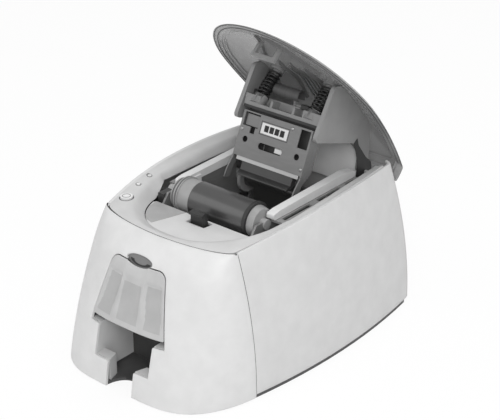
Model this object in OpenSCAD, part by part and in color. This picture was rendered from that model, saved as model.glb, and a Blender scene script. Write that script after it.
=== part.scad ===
// Desktop id card printer with its smoked lid raised.
// Front is -Y, the desk is Z = 0, widths run along X. All lengths in mm.

/* [Body] */
// Widest outside width of the body
body_w = 205; // [195:1:215]
// Y of the front edge of the base
front_y = -153; // [-156:0.5:-149]
// Y of the rear wall at the base
rear_y = 126.4; // [124:0.1:129]
// Height of the top rim at its crest
rim_h = 134.4; // [132:0.1:137]
// Wall thickness of the outer panels
wall = 2.6; // [2:0.1:3]
// Height of the feet and of the gap under the base
foot_h = 0.6; // [0.5:0.1:1]
// Height where the side and rear panels start
skirt_z = 3.6; // [3:0.1:5]
// Inward lean of the side walls at the rim
lean = 18.3; // [16:0.1:20]
// Radius of the rear vertical corners
corner_r = 7; // [5:0.5:7.5]
// Half width of the feeder mouth at its foot
door_low = 40.4; // [38:0.1:42]
// Half width of the feeder door at its head
door_top = 28; // [26:0.5:30]
// Height of the head of the feeder door
door_z = 107.5; // [105:0.5:108]
// Half width of the card outlet
outlet_half = 29.7; // [28.5:0.1:31]
// Floor height of the card outlet
outlet_z = 22.9; // [21:0.1:25]

/* [Lid] */
// Angle the raised lid stands open
open_deg = 50.2; // [40:0.1:55]
// Y of the lid hinge
hinge_y = 109.7; // [108:0.1:111]
// Height of the lid hinge
hinge_z = 80.2; // [78:0.1:82]
// Half width of the lid
lid_half = 77.6; // [76:0.1:78]
// Rise of the lid dome over its rim
dome_h = 16; // [15:0.5:22]
// Wall thickness of the lid
lid_wall = 2.4; // [1.8:0.1:3]

/* [Print head] */
// Half width of the head bracket
head_half = 37.8; // [37:0.1:38]
// Height of the bracket's face plate
head_h = 40.2; // [38:0.1:42]
// Y of the foot of the face plate with the lid up
head_y = 36.5; // [35:0.1:38]
// Height of the foot of the face plate with the lid up
head_z = 136.6; // [135:0.1:138]
// Backward lean of the face plate with the lid up
head_lean = 24.15; // [22:0.05:26]

/* [Transport] */
// Radius of the platen roller
platen_r = 8; // [7.5:0.1:8.2]
// Y of the platen roller
platen_y = 29.6; // [29:0.1:30]
// Height of the platen roller axis
platen_z = 37.3; // [37:0.1:37.5]
// Y of the transport roller
transport_y = -18; // [-20:0.5:-16]
// Y of the feed roller
feed_y = -50; // [-52:0.5:-48]
// Height of the feed roller axis
feed_z = 46.6; // [46:0.1:47]
// Radius of the take-up ribbon roll
takeup_r = 15.8; // [12:0.1:16]
// Y of the take-up spool
takeup_y = -23.6; // [-27:0.1:-22]
// Height of the take-up spool axis
takeup_z = 119; // [117:0.1:119.5]
// Y of the supply spool
supply_y = 57; // [56:0.1:58]
// Height of the supply spool axis
supply_z = 107; // [106:0.1:108]
// Radius of the supply ribbon roll
supply_r = 8; // [7:0.1:12]

/* [Hidden] */
$fn = 48;

// Gap round the button, radial play of a shaft in its bush, and overlap of joined solids
gap = 0.4;
play = 0.06;
eps = 0.02;

// ---- body surface ----
wide_y = 23.6;
side_bow = 1200;
seam_z = 124.7;
shoulder_z = 100;
shoulder_d = 16.3;
crest_y = 58;
function side_lean(y) = lean + (y < 0 ? 6 : 1) * pow(y / 90, 2);
function side_x(y, z) = body_w / 2 - pow(y - wide_y, 2) / side_bow - side_lean(y) * pow(z / 130, 2);
function rim_z(y) = rim_h - 0.00047 * pow(y - crest_y, 2);
function seam_y(z) = -87.6 + 2.1 * z / seam_z;
function shoulder(z) = let (f = (z - shoulder_z) / (seam_z - shoulder_z))
  f <= 0 ? 0 : shoulder_d * (1 - sqrt(max(0, 1 - f * f)));
function nose_y(z) = front_y + 0.13 * z + 0.00113 * z * z + shoulder(z);
// Powers of the front's plan outline, across and fore and aft; the base is squarer than the top
function nose_m(z) = 1.8 + 2.5 * pow(max(0, 1 - z / seam_z), 1.5);
function nose_k(z) = 1.8 - 0.4 * pow(max(0, 1 - z / seam_z), 1.5);
function spow(v, p) = (v < 0 ? -1 : 1) * pow(abs(v), p);
function back_y(z) = rear_y - 7.8 * pow(z / 132, 2);

// Point of the front at share a of the way across (-90 left seam, 90 right seam), height z, in by t.
// tilt is the shoulder angle there, so the inner skin stays one wall below the outer one.
function front_pt(a, z, t, tilt) = let (
  sx = side_x(seam_y(z), z) - t,
  deep = seam_y(z) - nose_y(z) - t * cos(tilt),
  m = nose_m(z),
  b = 90 * spow(a / 90, m / 2)
) [sx * spow(sin(b), 2 / m), seam_y(z) - deep * pow(abs(cos(b)), 2 / nose_k(z)), z - t * sin(tilt)];

// Closed sheet between two equal grids; rows climb, columns run rightward seen from outside
module sheet(skin, core) {
  nu = len(skin);
  nv = len(skin[0]);
  n = nu * nv;
  pts = concat([for (r = skin) for (p = r) p], [for (r = core) for (p = r) p]);
  skin_f = [for (i = [0:nu-2], j = [0:nv-2]) each [
    [i*nv+j, (i+1)*nv+j, (i+1)*nv+j+1], [i*nv+j, (i+1)*nv+j+1, i*nv+j+1]]];
  core_f = [for (i = [0:nu-2], j = [0:nv-2]) each [
    [n+i*nv+j, n+(i+1)*nv+j+1, n+(i+1)*nv+j], [n+i*nv+j, n+i*nv+j+1, n+(i+1)*nv+j+1]]];
  low_f = [for (j = [0:nv-2]) each [[j, j+1, n+j+1], [j, n+j+1, n+j]]];
  top = (nu - 1) * nv;
  top_f = [for (j = [0:nv-2]) each [[top+j, n+top+j+1, top+j+1], [top+j, n+top+j, n+top+j+1]]];
  left_f = [for (i = [0:nu-2]) each [[i*nv, n+(i+1)*nv, (i+1)*nv], [i*nv, n+i*nv, n+(i+1)*nv]]];
  r = nv - 1;
  right_f = [for (i = [0:nu-2]) each [
    [i*nv+r, (i+1)*nv+r, n+(i+1)*nv+r], [i*nv+r, n+(i+1)*nv+r, n+i*nv+r]]];
  polyhedron(pts, concat(skin_f, core_f, low_f, top_f, left_f, right_f), convexity = 8);
}

function rev(l) = [for (i = [len(l)-1:-1:0]) l[i]];

// Cylinder along X from x0 to x1 about (y, z)
module rod(r, x0, x1, y, z) {
  translate([x0, y, z]) rotate([0, 90, 0]) cylinder(r = r, h = x1 - x0);
}
// Tube along X
module tube(r_out, r_in, x0, x1, y, z) {
  difference() {
    rod(r_out, x0, x1, y, z);
    rod(r_in, x0 - 1, x1 + 1, y, z);
  }
}
// Outline given in (y, z), thick along X from x0 to x1
module slab_x(x0, x1) {
  translate([x0, 0, 0]) rotate([90, 0, 90]) linear_extrude(height = x1 - x0) children();
}
// Outline given in (x, z), thick along Y from y0 to y1
module slab_y(y0, y1) {
  translate([0, y1, 0]) rotate([90, 0, 0]) linear_extrude(height = y1 - y0) children();
}
// Box from corner a to corner b
module span(a, b) {
  translate(a) cube(b - a);
}
module both() {
  children();
  mirror([1, 0, 0]) children();
}

// ---- outer panels ----
front_foot = foot_h + 0.1;
front_rows = concat(
  [for (z = [front_foot, 8, 16, 25, 37, 49, 62, 75, 88, shoulder_z]) [z, 0]],
  [for (f = [15:15:90]) [shoulder_z + (seam_z - shoulder_z) * sin(f), f]]);
function front_skin(t, a0, a1, da) =
  [for (r = front_rows) [for (a = [a0:da:a1]) front_pt(a, r[0], t, r[1])]];

door_y = -133.9;
door_pin_z = 58.6;
door_foot_z = 55.8;
ledge_z = 49.4;
door_round = 8.5;
notch_half = 13.8;
notch_z = 109.6;
thumb_half = 14.2;

// Half width of the mouth at height z, and the lean of its sides
function mouth_x(z) = door_top + (door_low - door_top) * (door_z - z) / (door_z - ledge_z);
mouth_lean = atan((door_low - door_top) / (door_z - ledge_z));
// Outline of the feeder mouth from height foot up, grown by g, with rounded upper corners
module mouth_2d(foot, g) {
  grow = g / cos(mouth_lean);
  centre_x = mouth_x(door_z - door_round) - door_round / cos(mouth_lean);
  arc = [for (k = [0:6]) let (t = mouth_lean + (90 - mouth_lean) * k / 6)
    [centre_x + (door_round + g) * cos(t), door_z - door_round + (door_round + g) * sin(t)]];
  polygon(concat([[-mouth_x(foot) - grow, foot], [mouth_x(foot) + grow, foot]], arc,
    [for (k = [6:-1:0]) [-arc[k][0], arc[k][1]]]));
}
module outlet_2d() {
  translate([-outlet_half, outlet_z]) square([2 * outlet_half, ledge_z - outlet_z + 1]);
  translate([-thumb_half, 0]) square([2 * thumb_half, outlet_z + 1]);
}

module front_panel() color("gainsboro") difference() {
  sheet(front_skin(0, -90, 90, 6), front_skin(wall, -90, 90, 6));
  slab_y(-160, -90) {
    mouth_2d(ledge_z, 0.5);
    outlet_2d();
    translate([0, notch_z]) scale([1, 0.3]) circle(r = notch_half);
  }
}

panel_gap = 0.25;
side_cols = 24;
function side_rows(t, s) = [for (k = [0:11]) let (v = k / 11) [for (j0 = [0:side_cols]) let (
    j = s > 0 ? j0 : side_cols - j0,
    last = side_cols - 6,
    yc = back_y(60) - corner_r,
    f = min(1, j / last),
    b = j > last ? (j - last) * 15 : 0,
    y0 = seam_y(skirt_z + v * 121) + panel_gap,
    ya = y0 + f * (yc - y0),
    z = skirt_z + v * (rim_z(ya) - skirt_z),
    y1 = seam_y(z) + panel_gap,
    yb = y1 + f * (back_y(z) - corner_r - y1),
    rc = corner_r - t,
    x = side_x(yb, z) - t - rc * (1 - cos(b)),
    y = yb + rc * sin(b)
  ) [s * x, y, z]]];

module side_panel(s) {
  sheet(side_rows(0, s), side_rows(wall, s));
}
module side_panel_left() color("lightgray") side_panel(-1);
module side_panel_right() color("lightgray") side_panel(1);

rear_top = 115.8;
inlet_x = -66;
inlet_z = 22;
usb_x = -30;
port_y = rear_y - wall;
function rear_half(z) = side_x(back_y(z) - corner_r, z) - corner_r - panel_gap;
function rear_rows(t) = [for (z = [skirt_z, 30, 60, 90, rear_top])
  [for (k = [8:-1:-8]) [k / 8 * rear_half(z), back_y(z) - t, z]]];
module rear_panel() color("lightgray") difference() {
  sheet(rear_rows(0), rear_rows(wall));
  slab_y(100, 140) {
    translate([inlet_x, inlet_z]) circle(r = 6.3);
    translate([usb_x - 6.8, inlet_z - 6.2]) square([13.6, 12.4]);
    for (k = [0:9]) translate([20 + 5 * k, 40]) square([2, 30]);
  }
}

// ---- base ----
base_in = 0.5;
base_top = skirt_z - 0.1;
floor_z = foot_h + 1.2;
notch_y = -152;
function base_outline(t) = concat(
  [for (a = [-90:10:90]) let (p = front_pt(a, skirt_z, wall + 0.3, 0)) [p[0], p[1]]],
  [for (k = [0:12]) let (y = -87.3 + k * 17) [side_x(y, skirt_z) - t, y]],
  [for (s = [1, -1]) [s * (side_x(rear_y - 3, skirt_z) - corner_r), rear_y - t]],
  [for (k = [12:-1:0]) let (y = -87.3 + k * 17) [t - side_x(y, skirt_z), y]]);
foot_xy = [[70, -95], [82, 100]];
board_z = 10;
module base_pan() color("dimgray") {
  difference() {
    linear_extrude_at(foot_h, base_top) polygon(base_outline(base_in));
    translate([0, notch_y, 0]) scale([1, 1.3, 1]) cylinder(r = thumb_half, h = 8);
    span([-outlet_half, block_back, floor_z], [outlet_half, bin_back, 8]);
    both() linear_extrude_at(0, 8) offset(delta = 0.15) block_2d();
    both() for (p = foot_xy) translate([p[0], p[1], 0]) cylinder(r = 9.2, h = foot_h + 0.6);
    for (k = [0:7]) translate([-35 + 10 * k, 60, 0]) cube([3, 40, 8]);
  }
  both() for (p = [[30, 52], [30, 0], [84, 20], [62, 78]])
    translate([p[0], p[1], base_top - 0.1]) cylinder(r = 3, h = board_z - base_top + 0.1);
}
module rubber_feet() color("black") both() for (p = foot_xy)
  translate([p[0], p[1], 0]) cylinder(r1 = 8, r2 = 9, h = foot_h + 0.5);

// ---- bezel and decks ----
deck_tilt = 4.6;
deck_rear = -43.5;
deck_z = 115.2;
bezel_rear = 106;
bezel_gap = 0.6;
function lid_x(y) = y < 10 ? lid_half * sqrt(max(0, 1 - pow(min(1, (10 - y) / 107), 2.15)))
  : lid_half - 12.1 * pow((y - 10) / 100, 1.6);
function lid_rim(y) = rim_z(y) - 1.7 + 4.2 * pow(max(0, (-20 - y) / 77), 1.6);
function edge_x(y) = 70 - 3.5 * pow(max(0, y + 20) / 112, 3);
// Inner edge of the bezel, q = 0 at the nose, 1 at Y = -20, above 1 along the side
function edge_pt(q) = q <= 1
  ? let (a = 90 * q, y = -20 - 77.8 * pow(abs(cos(a)), 1.11))
    [70 * pow(sin(a), 0.833), y, lid_rim(y) - 0.8]
  : let (y = -20 + (q - 1) * (bezel_rear + 20)) [edge_x(y), y, lid_rim(y) - 1.2];
function out_pt(q) = q <= 0.53
  ? let (a = 90 * q / 0.53, p = front_pt(a, seam_z, bezel_gap + 2.3 * pow(sin(a), 4), 0))
    [p[0], p[1], seam_z - 0.1]
  : let (y = q <= 1 ? seam_y(seam_z) + (q - 0.53) / 0.47 * (-20 - seam_y(seam_z))
      : -20 + (q - 1) * (bezel_rear + 20))
    [side_x(y, rim_z(y)) - wall - 0.45, y, max(seam_z - 0.1, rim_z(y) - 0.2)];
function seat_pt(q) = let (e = edge_pt(q), o = out_pt(q), m = e + (o - e) * (0.55 + 0.14 * q))
  q <= 1 ? [m[0], m[1], lid_rim(m[1]) - 0.7]
  : [lid_x(e[1]) + 0.8, e[1], lid_rim(e[1]) - 0.7];
function foot_pt(q) = let (e = edge_pt(q)) q <= 1
  ? [61 * pow(sin(90 * q), 0.833), -20 - 68.8 * pow(abs(cos(90 * q)), 1.11), deck_at(e[1]) + 0.2]
  : [e[0] - 3, e[1], 122.4];
function deck_at(y) = y < deck_rear ? deck_z + (deck_rear - y) * tan(deck_tilt)
  : min(124.3, deck_z + (y - deck_rear) * 0.4);
function flip(p, s, d) = [s * p[0], p[1], p[2] - d];
qs = concat([for (k = [0:18]) k / 18], [for (k = [1:10]) 1 + k / 10]);
function bezel_row(f, d) = let (
  r = [for (q = qs) f == 0 ? out_pt(q) : f == 1 ? seat_pt(q) : f == 2 ? edge_pt(q) : foot_pt(q)])
  concat([for (p = rev(r)) flip(p, -1, d)], [for (k = [1:len(r)-1]) flip(r[k], 1, d)]);
button_x = -63;
button_y = -71;
button_r = 5.4;
button_top = 127.9;
light_xy = [[-71, -48], [-74.2, -31]];
module bezel_sheet() {
  bezel_t = 2.2;
  sheet([for (f = [0:3]) bezel_row(f, 0)], [for (f = [0:3]) bezel_row(f, bezel_t)]);
}
module top_bezel() color("silver") difference() {
  bezel_sheet();
  translate([button_x, button_y, 110]) cylinder(r = button_r + gap, h = 30);
  for (p = light_xy) translate([p[0], p[1], 110]) cylinder(r = 1.9, h = 30);
}
module indicator_lights() color("white") for (p = light_xy)
  translate([p[0], p[1], 122]) cylinder(r = 1.8, h = lid_rim(p[1]) - 0.1 - 122);

// Outline of the latch deck
function deck_outline(t) = concat(
  [for (k = [-16:16]) let (a = 90 * k / 18) if (-20 - 68.8 * pow(cos(a), 1.11) < deck_rear)
    [61 * spow(sin(a), 0.833) * (1 - t / 61), -20 - (68.8 - t) * pow(cos(a), 1.11)]],
  [[52, deck_rear], [-52, deck_rear]]);
hook_half = 7;
hook_mid = 1;
hook_y = -51.75;
hook_z = 100.5;
module latch_deck() color("gainsboro") {
  latch_ears();
  latch_plate();
}
module latch_plate() difference() {
  translate([0, deck_rear, deck_z]) rotate([-deck_tilt, 0, 0]) translate([0, -deck_rear, -2])
    linear_extrude(height = 2) polygon(deck_outline(0.4));
  translate([hook_mid - 10, -57.5, 100]) cube([20, 11.5, 30]);
}
module latch_ears() {
  difference() {
    translate([hook_mid, 0, 0]) both() slab_x(11.4, 13.2)
      polygon([[-56, 97], [-48, 97], [-46.5, 113.6], [-58, 114.4]]);
    rod(2.56, -20, 20, hook_y, hook_z);
  }
}
module inner_decks() color("silver") both() difference() {
  span([plate_out + 0.05, -18, 119.7], [62.8, 92, 121.9]);
  span([56, -12, 110], [60, 24, 130]);
  span([56, 34, 110], [60, 66, 130]);
  span([56, 74, 110], [60, 86, 130]);
}

// ---- chassis ----
plate_in = 47.4;
plate_out = 49.4;
plate_top = 122.3;
hub_r = 4.5;
rail_in = 46.6;
rail_out = 54.4;
module rail_2d() {
  offset(r = 2) offset(delta = -2) polygon([[-20, plate_top], [92, plate_top], [92, 127.5],
    [78, 130.4], [-12, 128.9], [-20, 127.6]]);
}
module rail() {
  slab_x(rail_in, rail_out) rail_2d();
}
module rail_right() color("gainsboro") rail();
module rail_left() color("gainsboro") {
  mirror([1, 0, 0]) rail();
  difference() {
    span([-rail_in - 0.1, -11, 113.5], [-45.5, 4, 126]);
    rod(takeup_r + 1.4, -60, -30, takeup_y, takeup_z);
  }
}
module side_plate_2d() {
  difference() {
    polygon([[-60, 24], [-60, 56], [-44, 66], [-44, 112], [-36, plate_top], [96, plate_top],
      [104, 96], [118, 90], [118, 40], [104, skirt_z], [-40, skirt_z]]);
    for (p = [[takeup_y, takeup_z], [supply_y, supply_z]]) {
      translate([p[0], p[1]]) circle(r = hub_r + 0.1);
      translate([p[0] - hub_r - 0.1, p[1]]) square([2 * hub_r + 0.2, 40]);
    }
    for (p = bush_at) translate([p[0], p[1]]) circle(r = bush_r);
    translate([hinge_y, hinge_z]) circle(r = 4.05);
    translate([motor_y, motor_z]) circle(r = 11.2);
    for (y = [38, 64, 90]) translate([y, 84]) circle(r = 8);
  }
}
bush_r = 5.5;
shaft_r = 3;
transport_r = 7;
transport_z = 38.3;
pinch_r = 6;
pinch_z = transport_z + transport_r + 0.9 + pinch_r;
clean_y = 4;
clean_z = 54.6;
clean_r = 6;
motor_y = 2;
motor_z = 67;
bush_at = [[platen_y, platen_z], [transport_y, transport_z], [feed_y, feed_z],
  [transport_y, pinch_z], [clean_y, clean_z]];
module side_plates() color("darkgray") both() {
  slab_x(plate_in, plate_out) side_plate_2d();
  span([plate_out - 0.1, -36, skirt_z], [58, 66, skirt_z + 1.6]);
}
// Bar that holds the ribbon clear of the shut print head
bar_r = 1.6;
bar_y = -5;
bar_z = 96;
module cross_braces() color("darkgray") {
  rod(bar_r, -plate_in, plate_in, bar_y, bar_z);
  rod(3.5, -plate_in, plate_in, 90, 24);
  rod(3.5, -plate_in, plate_in, 108, 60);
  rod(3.5, -plate_in, plate_in, 56, 74);
  span([-plate_in, -8, 10], [plate_in, 60, 11.6]);
}
module shaft_bushes() color("sienna") both() for (p = bush_at)
  tube(bush_r - 0.02, shaft_r + play, plate_in - 0.8, plate_out + 1.2, p[0], p[1]);

// ---- card path ----
tray_half = 27.6;
tray_z = 53.2;
tray_front = -118;
tray_back = -39;
// Inner face of the arms on the feeder door
arm_in = 36;
module feeder_tray() color("lightgray") {
  difference() {
    span([-tray_half - 2.4, tray_front, tray_z - 2], [tray_half + 2.4, tray_back, tray_z]);
    span([-22, feed_y - 9, 40], [22, feed_y + 9, 60]);
  }
  both() {
    span([tray_half, tray_front, tray_z - 0.1], [tray_half + 2.4, tray_back, 104]);
    difference() {
      slab_x(arm_in - 2, arm_in - 0.3) {
        translate([door_y, door_pin_z]) circle(r = 2.1);
        polygon([[door_y, door_pin_z - 1.4], [tray_front + 0.1, 61], [tray_front + 0.1, 70],
          [door_y, door_pin_z + 2]]);
      }
      rod(1.26, 30, 50, door_y, door_pin_z);
    }
    span([tray_half + 2.3, tray_front, tray_z + 12], [41.8, tray_front + 2.4, 84]);
  }
  difference() {
    span([-tray_half - 2.4, tray_back - 2, tray_z + 2], [tray_half + 2.4, tray_back, 104]);
    span([-12, -50, 70], [12, -30, 96]);
  }
}
bin_out = outlet_half + 2;
bin_back = -103;
bin_top = 49.3;
shelf_out = outlet_half + 11.7;
block_back = -136;
module output_hopper() color("gainsboro") {
  both() {
    slab_x(outlet_half, bin_out) polygon(concat(
      [for (k = [0:4]) let (z = skirt_z + (bin_top - skirt_z) * k / 4) [front_in(bin_out, z), z]],
      [[bin_back, bin_top], [bin_back, skirt_z]]));
    linear_extrude_at(front_foot, outlet_z - 0.1) block_2d();
    linear_extrude_at(bin_top - 1.4, bin_top) polygon(concat(
      [for (k = [0:4]) let (x = outlet_half + 0.1 + k * 2.9) [x, front_in(x, bin_top)]],
      [[shelf_out, bin_back], [outlet_half + 0.1, bin_back]]));
  }
}
// Outline of the thick lip beside the finger notch, just inside the front panel
module block_2d() polygon(concat(
  [for (x = [thumb_half:3.1:outlet_half + 1]) [x, front_in(x, outlet_z)]],
  [[outlet_half + 0.1, block_back], [thumb_half + 3, block_back]]));
// Y of the inner face of the front panel at (x, z)
function front_in(x, z) = let (sx = side_x(seam_y(z), z) - wall)
  seam_y(z) - (seam_y(z) - nose_y(z) - wall) * pow(1 - pow(x / sx, nose_m(z)), 1 / nose_k(z)) + 0.15;
module linear_extrude_at(z0, z1) translate([0, 0, z0]) linear_extrude(height = z1 - z0) children();

throat_x = 33;
throat_low = 41.4;
throat_high = 49.4;
module card_throat() color("dimgray") {
  difference() {
    span([-throat_x, bin_back + 0.1, skirt_z], [throat_x, bin_back + 2.1, bin_top]);
    span([-outlet_half + 1, -110, throat_low], [outlet_half - 1, -90, throat_high]);
  }
  span([-outlet_half, bin_back + 2, throat_low - 2], [outlet_half, -61, throat_low]);
  both() span([outlet_half - 0.1, bin_back + 2, throat_low - 2], [outlet_half + 2, -61, throat_high]);
}
module card_guide() color("gray") difference() {
  union() {
    span([-36, -40, 42.4], [36, 58, 44.2]);
    both() {
      span([31.6, -40, 44.1], [33.4, 14, 47.4]);
      span([31.6, 46, 44.1], [33.4, 58, 47.4]);
      span([33, 2, 11.6], [36, 16, 42.5]);
      span([33, 44, 11.6], [36, 58, 42.5]);
    }
  }
  for (p = [[platen_y, platen_r + 1], [transport_y, transport_r + 1]])
    span([-31, p[0] - p[1], 30], [31, p[0] + p[1], 50]);
}

// ---- rollers ----
module roller_shaft(y, z, x1) {
  rod(shaft_r, -x1, x1, y, z);
}
pulley_x0 = -45.8;
pulley_x1 = -40.6;
pulley_r = 9;
motor_pulley_r = 7;
module pulley(r, bore, y, z) {
  tube(r, bore, pulley_x0 + 0.8, pulley_x1 - 0.8, y, z);
  tube(r + 1.2, bore, pulley_x0, pulley_x0 + 0.8 + eps, y, z);
  tube(r + 1.2, bore, pulley_x1 - 0.8 - eps, pulley_x1, y, z);
}
module platen_shaft() color("silver") {
  roller_shaft(platen_y, platen_z, 52);
  pulley(pulley_r, shaft_r - 0.1, platen_y, platen_z);
}
module platen_roller() color("dimgray") tube(platen_r, shaft_r, -30, 30, platen_y, platen_z);
module transport_shaft() color("silver") {
  roller_shaft(transport_y, transport_z, 52);
  pulley(pulley_r, shaft_r - 0.1, transport_y, transport_z);
}
module transport_roller() color("dimgray") both()
  tube(transport_r, shaft_r, 6, 24, transport_y, transport_z);
module feed_shaft() color("silver") {
  roller_shaft(feed_y, feed_z, 52);
  pulley(pulley_r, shaft_r - 0.1, feed_y, feed_z);
}
module feed_roller() color("dimgray") both()
  tube(transport_r, shaft_r, 5, 20, feed_y, feed_z);
module pinch_roller() color("gray") {
  roller_shaft(transport_y, pinch_z, 51);
  rod(pinch_r, -26, 26, transport_y, pinch_z);
}
module cleaning_roller() color("steelblue") {
  roller_shaft(clean_y, clean_z, 51);
  rod(clean_r, -28, 28, clean_y, clean_z);
}
module motor_pulley() color("silver") {
  rod(2.5, -54, -39.4, motor_y, motor_z);
  pulley(motor_pulley_r, 2.4, motor_y, motor_z);
}
belt_at = [[platen_y, platen_z, pulley_r], [transport_y, transport_z, pulley_r],
  [feed_y, feed_z, pulley_r], [motor_y, motor_z, motor_pulley_r]];
module belt_2d(t) {
  hull() for (p = belt_at) translate([p[0], p[1]]) circle(r = p[2] + t);
}
module drive_belt() color("black") slab_x(pulley_x0 + 0.9, pulley_x1 - 0.9) difference() {
  belt_2d(1.1);
  belt_2d(0.1);
}
module motor_body(y, z, x0, half, len) {
  difference() {
    translate([x0 - len, y - half, z - half]) cube([len, 2 * half, 2 * half]);
    for (a = [-1, 1], b = [-1, 1]) translate([x0 - len / 2, y + a * half, z + b * half])
      rotate([45, 0, 0]) cube([len + 2, 5, 5], center = true);
    rod(4, x0 - 6, x0 + 1, y, z);
  }
}
// The motor stands off the plate, clear of the bushes behind it
module drive_motor() color("dimgray") {
  motor_x = -plate_out - 2.4;
  motor_body(motor_y, motor_z, motor_x, 21, 30);
  for (p = [[-16, 16], [16, 16], [16, -16]])
    rod(3, motor_x - 0.1, -plate_out - 0.05, motor_y + p[0], motor_z + p[1]);
}
module takeup_motor() color("dimgray") {
  rod(11, -76, -55.9, takeup_y - 3, 98);
  difference() {
    span([-56, -40, 87], [-plate_out - 0.1, -19, 121.6]);
    rod(hub_r + 0.5, -60, -45, takeup_y, takeup_z);
  }
}

// ---- ribbon spools ----
film_left = -23.6;
film_right = 35.5;
module takeup_core() color("whitesmoke") {
  rod(5, -37, 37, takeup_y, takeup_z);
  rod(hub_r, -46.2, -36.9, takeup_y, takeup_z);
  rod(hub_r, 36.9, 50.6, takeup_y, takeup_z);
  rod(takeup_r - 0.6, -36, film_left, takeup_y, takeup_z);
  for (x = [-39.4, -36.9]) rod(takeup_r + 0.4, x, x + 0.9, takeup_y, takeup_z);
  rod(takeup_r - 3, -39, -35.9, takeup_y, takeup_z);
  translate([38.9, takeup_y, takeup_z]) rotate([0, 90, 0])
    cylinder(r1 = takeup_r - 2, r2 = takeup_r - 3.2, h = 6.4);
}
// Ribbon wound on the core, with the dark flange at its right end
module takeup_roll() color("dimgray") {
  tube(takeup_r, 5, film_left, film_right, takeup_y, takeup_z);
  tube(takeup_r + 0.6, 5, film_right - eps, 38.9, takeup_y, takeup_z);
}
module takeup_drive() color("gainsboro") {
  tube(8, hub_r + 0.1, -44.6, -40.9, takeup_y, takeup_z);
  for (x = [-44.6, -42]) tube(takeup_r - 2.2, 7.9, x, x + 1, takeup_y, takeup_z);
  rod(hub_r, -56, -46.8, takeup_y, takeup_z);
  tube(5.3, hub_r + 0.1, -46.9, -44.5, takeup_y, takeup_z);
  rod(5.3, -47.2, -46.8, takeup_y, takeup_z);
}
module supply_core() color("whitesmoke") {
  rod(5, -37, 37, supply_y, supply_z);
  both() {
    rod(hub_r, 36.9, 50.6, supply_y, supply_z);
    rod(13.5, 35.6, 38.9, supply_y, supply_z);
  }
}
module supply_roll() color("dimgray") tube(supply_r, 5, -35.5, 35.5, supply_y, supply_z);
web_t = 0.25;
web_path = [[takeup_y + takeup_r + 0.5, takeup_z], [bar_y - bar_r - 1, bar_z], [12.5, 58], [25.1, 44.7],
  [27.7, 45.45], [platen_y, platen_z + platen_r + 0.45], [supply_y - supply_r - 0.5, 53],
  [supply_y - supply_r - 0.5, supply_z]];
// Side step of the film's upper face at corner k, so the film keeps its thickness
function web_step(k) = k == 0 ? [web_t, 0] : k == len(web_path) - 1 ? [-web_t, 0]
  : k == len(web_path) - 2 ? [-web_t, web_t * 0.8]
  : k == 1 || k == 2 ? [web_t, web_t * 0.7] : [0, web_t];
module ribbon_web() color("black") slab_x(film_left, film_right - 0.3) polygon(concat(web_path,
  [for (k = [len(web_path)-1:-1:0]) web_path[k] + web_step(k)]));

// ---- electronics and sockets ----
module main_board() color("darkgreen") difference() {
  span([52, -36, board_z], [88, 86, board_z + 1.6]);
  translate([84, 20, 0]) cylinder(r = 1.6, h = 30);
}
module board_parts() color("black") {
  z = board_z + 1.6;
  span([58, -10, z], [72, 4, z + 2.2]);
  span([60, 20, z], [68, 38, z + 1.8]);
  span([74, -28, z], [84, -16, z + 9]);
  for (k = [0:3]) translate([78, 40 + 10 * k, z]) cylinder(r = 3.2, h = 9);
  span([56, 56, z], [64, 80, z + 7]);
}
module power_inlet() color("black") difference() {
  union() {
    translate([inlet_x, port_y + wall - 0.3, inlet_z]) rotate([90, 0, 0]) cylinder(r = 6, h = 8);
    span([inlet_x - 7, port_y - 16, inlet_z - 7.5], [inlet_x + 7, port_y - 0.6, inlet_z + 7]);
  }
  translate([inlet_x, rear_y + 1, inlet_z]) rotate([90, 0, 0]) cylinder(r = 4, h = 12);
}
module usb_socket() color("silver") difference() {
  span([usb_x - 6, port_y - 16, inlet_z - 5.5], [usb_x + 6, port_y + wall - 0.4, inlet_z + 5.5]);
  span([usb_x - 4.5, port_y - 8, inlet_z - 4], [usb_x + 4.5, rear_y + 1, inlet_z + 4]);
}
module hinge_shaft() color("silver") rod(4, -54, 54, hinge_y, hinge_z);
module hinge_brackets() color("darkgray") both() difference() {
  slab_x(plate_out + 0.1, plate_out + 4) polygon([[hinge_y - 9, 40], [hinge_y + 8, 40],
    [hinge_y + 8, hinge_z + 8], [hinge_y - 9, hinge_z + 8]]);
  rod(4.02, 40, 60, hinge_y, hinge_z);
}
module panel_screws() color("silver") both() for (p = foot_xy)
  translate([p[0], p[1] + 16, 0.1]) cylinder(r = 3, h = foot_h - 0.1);

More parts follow.
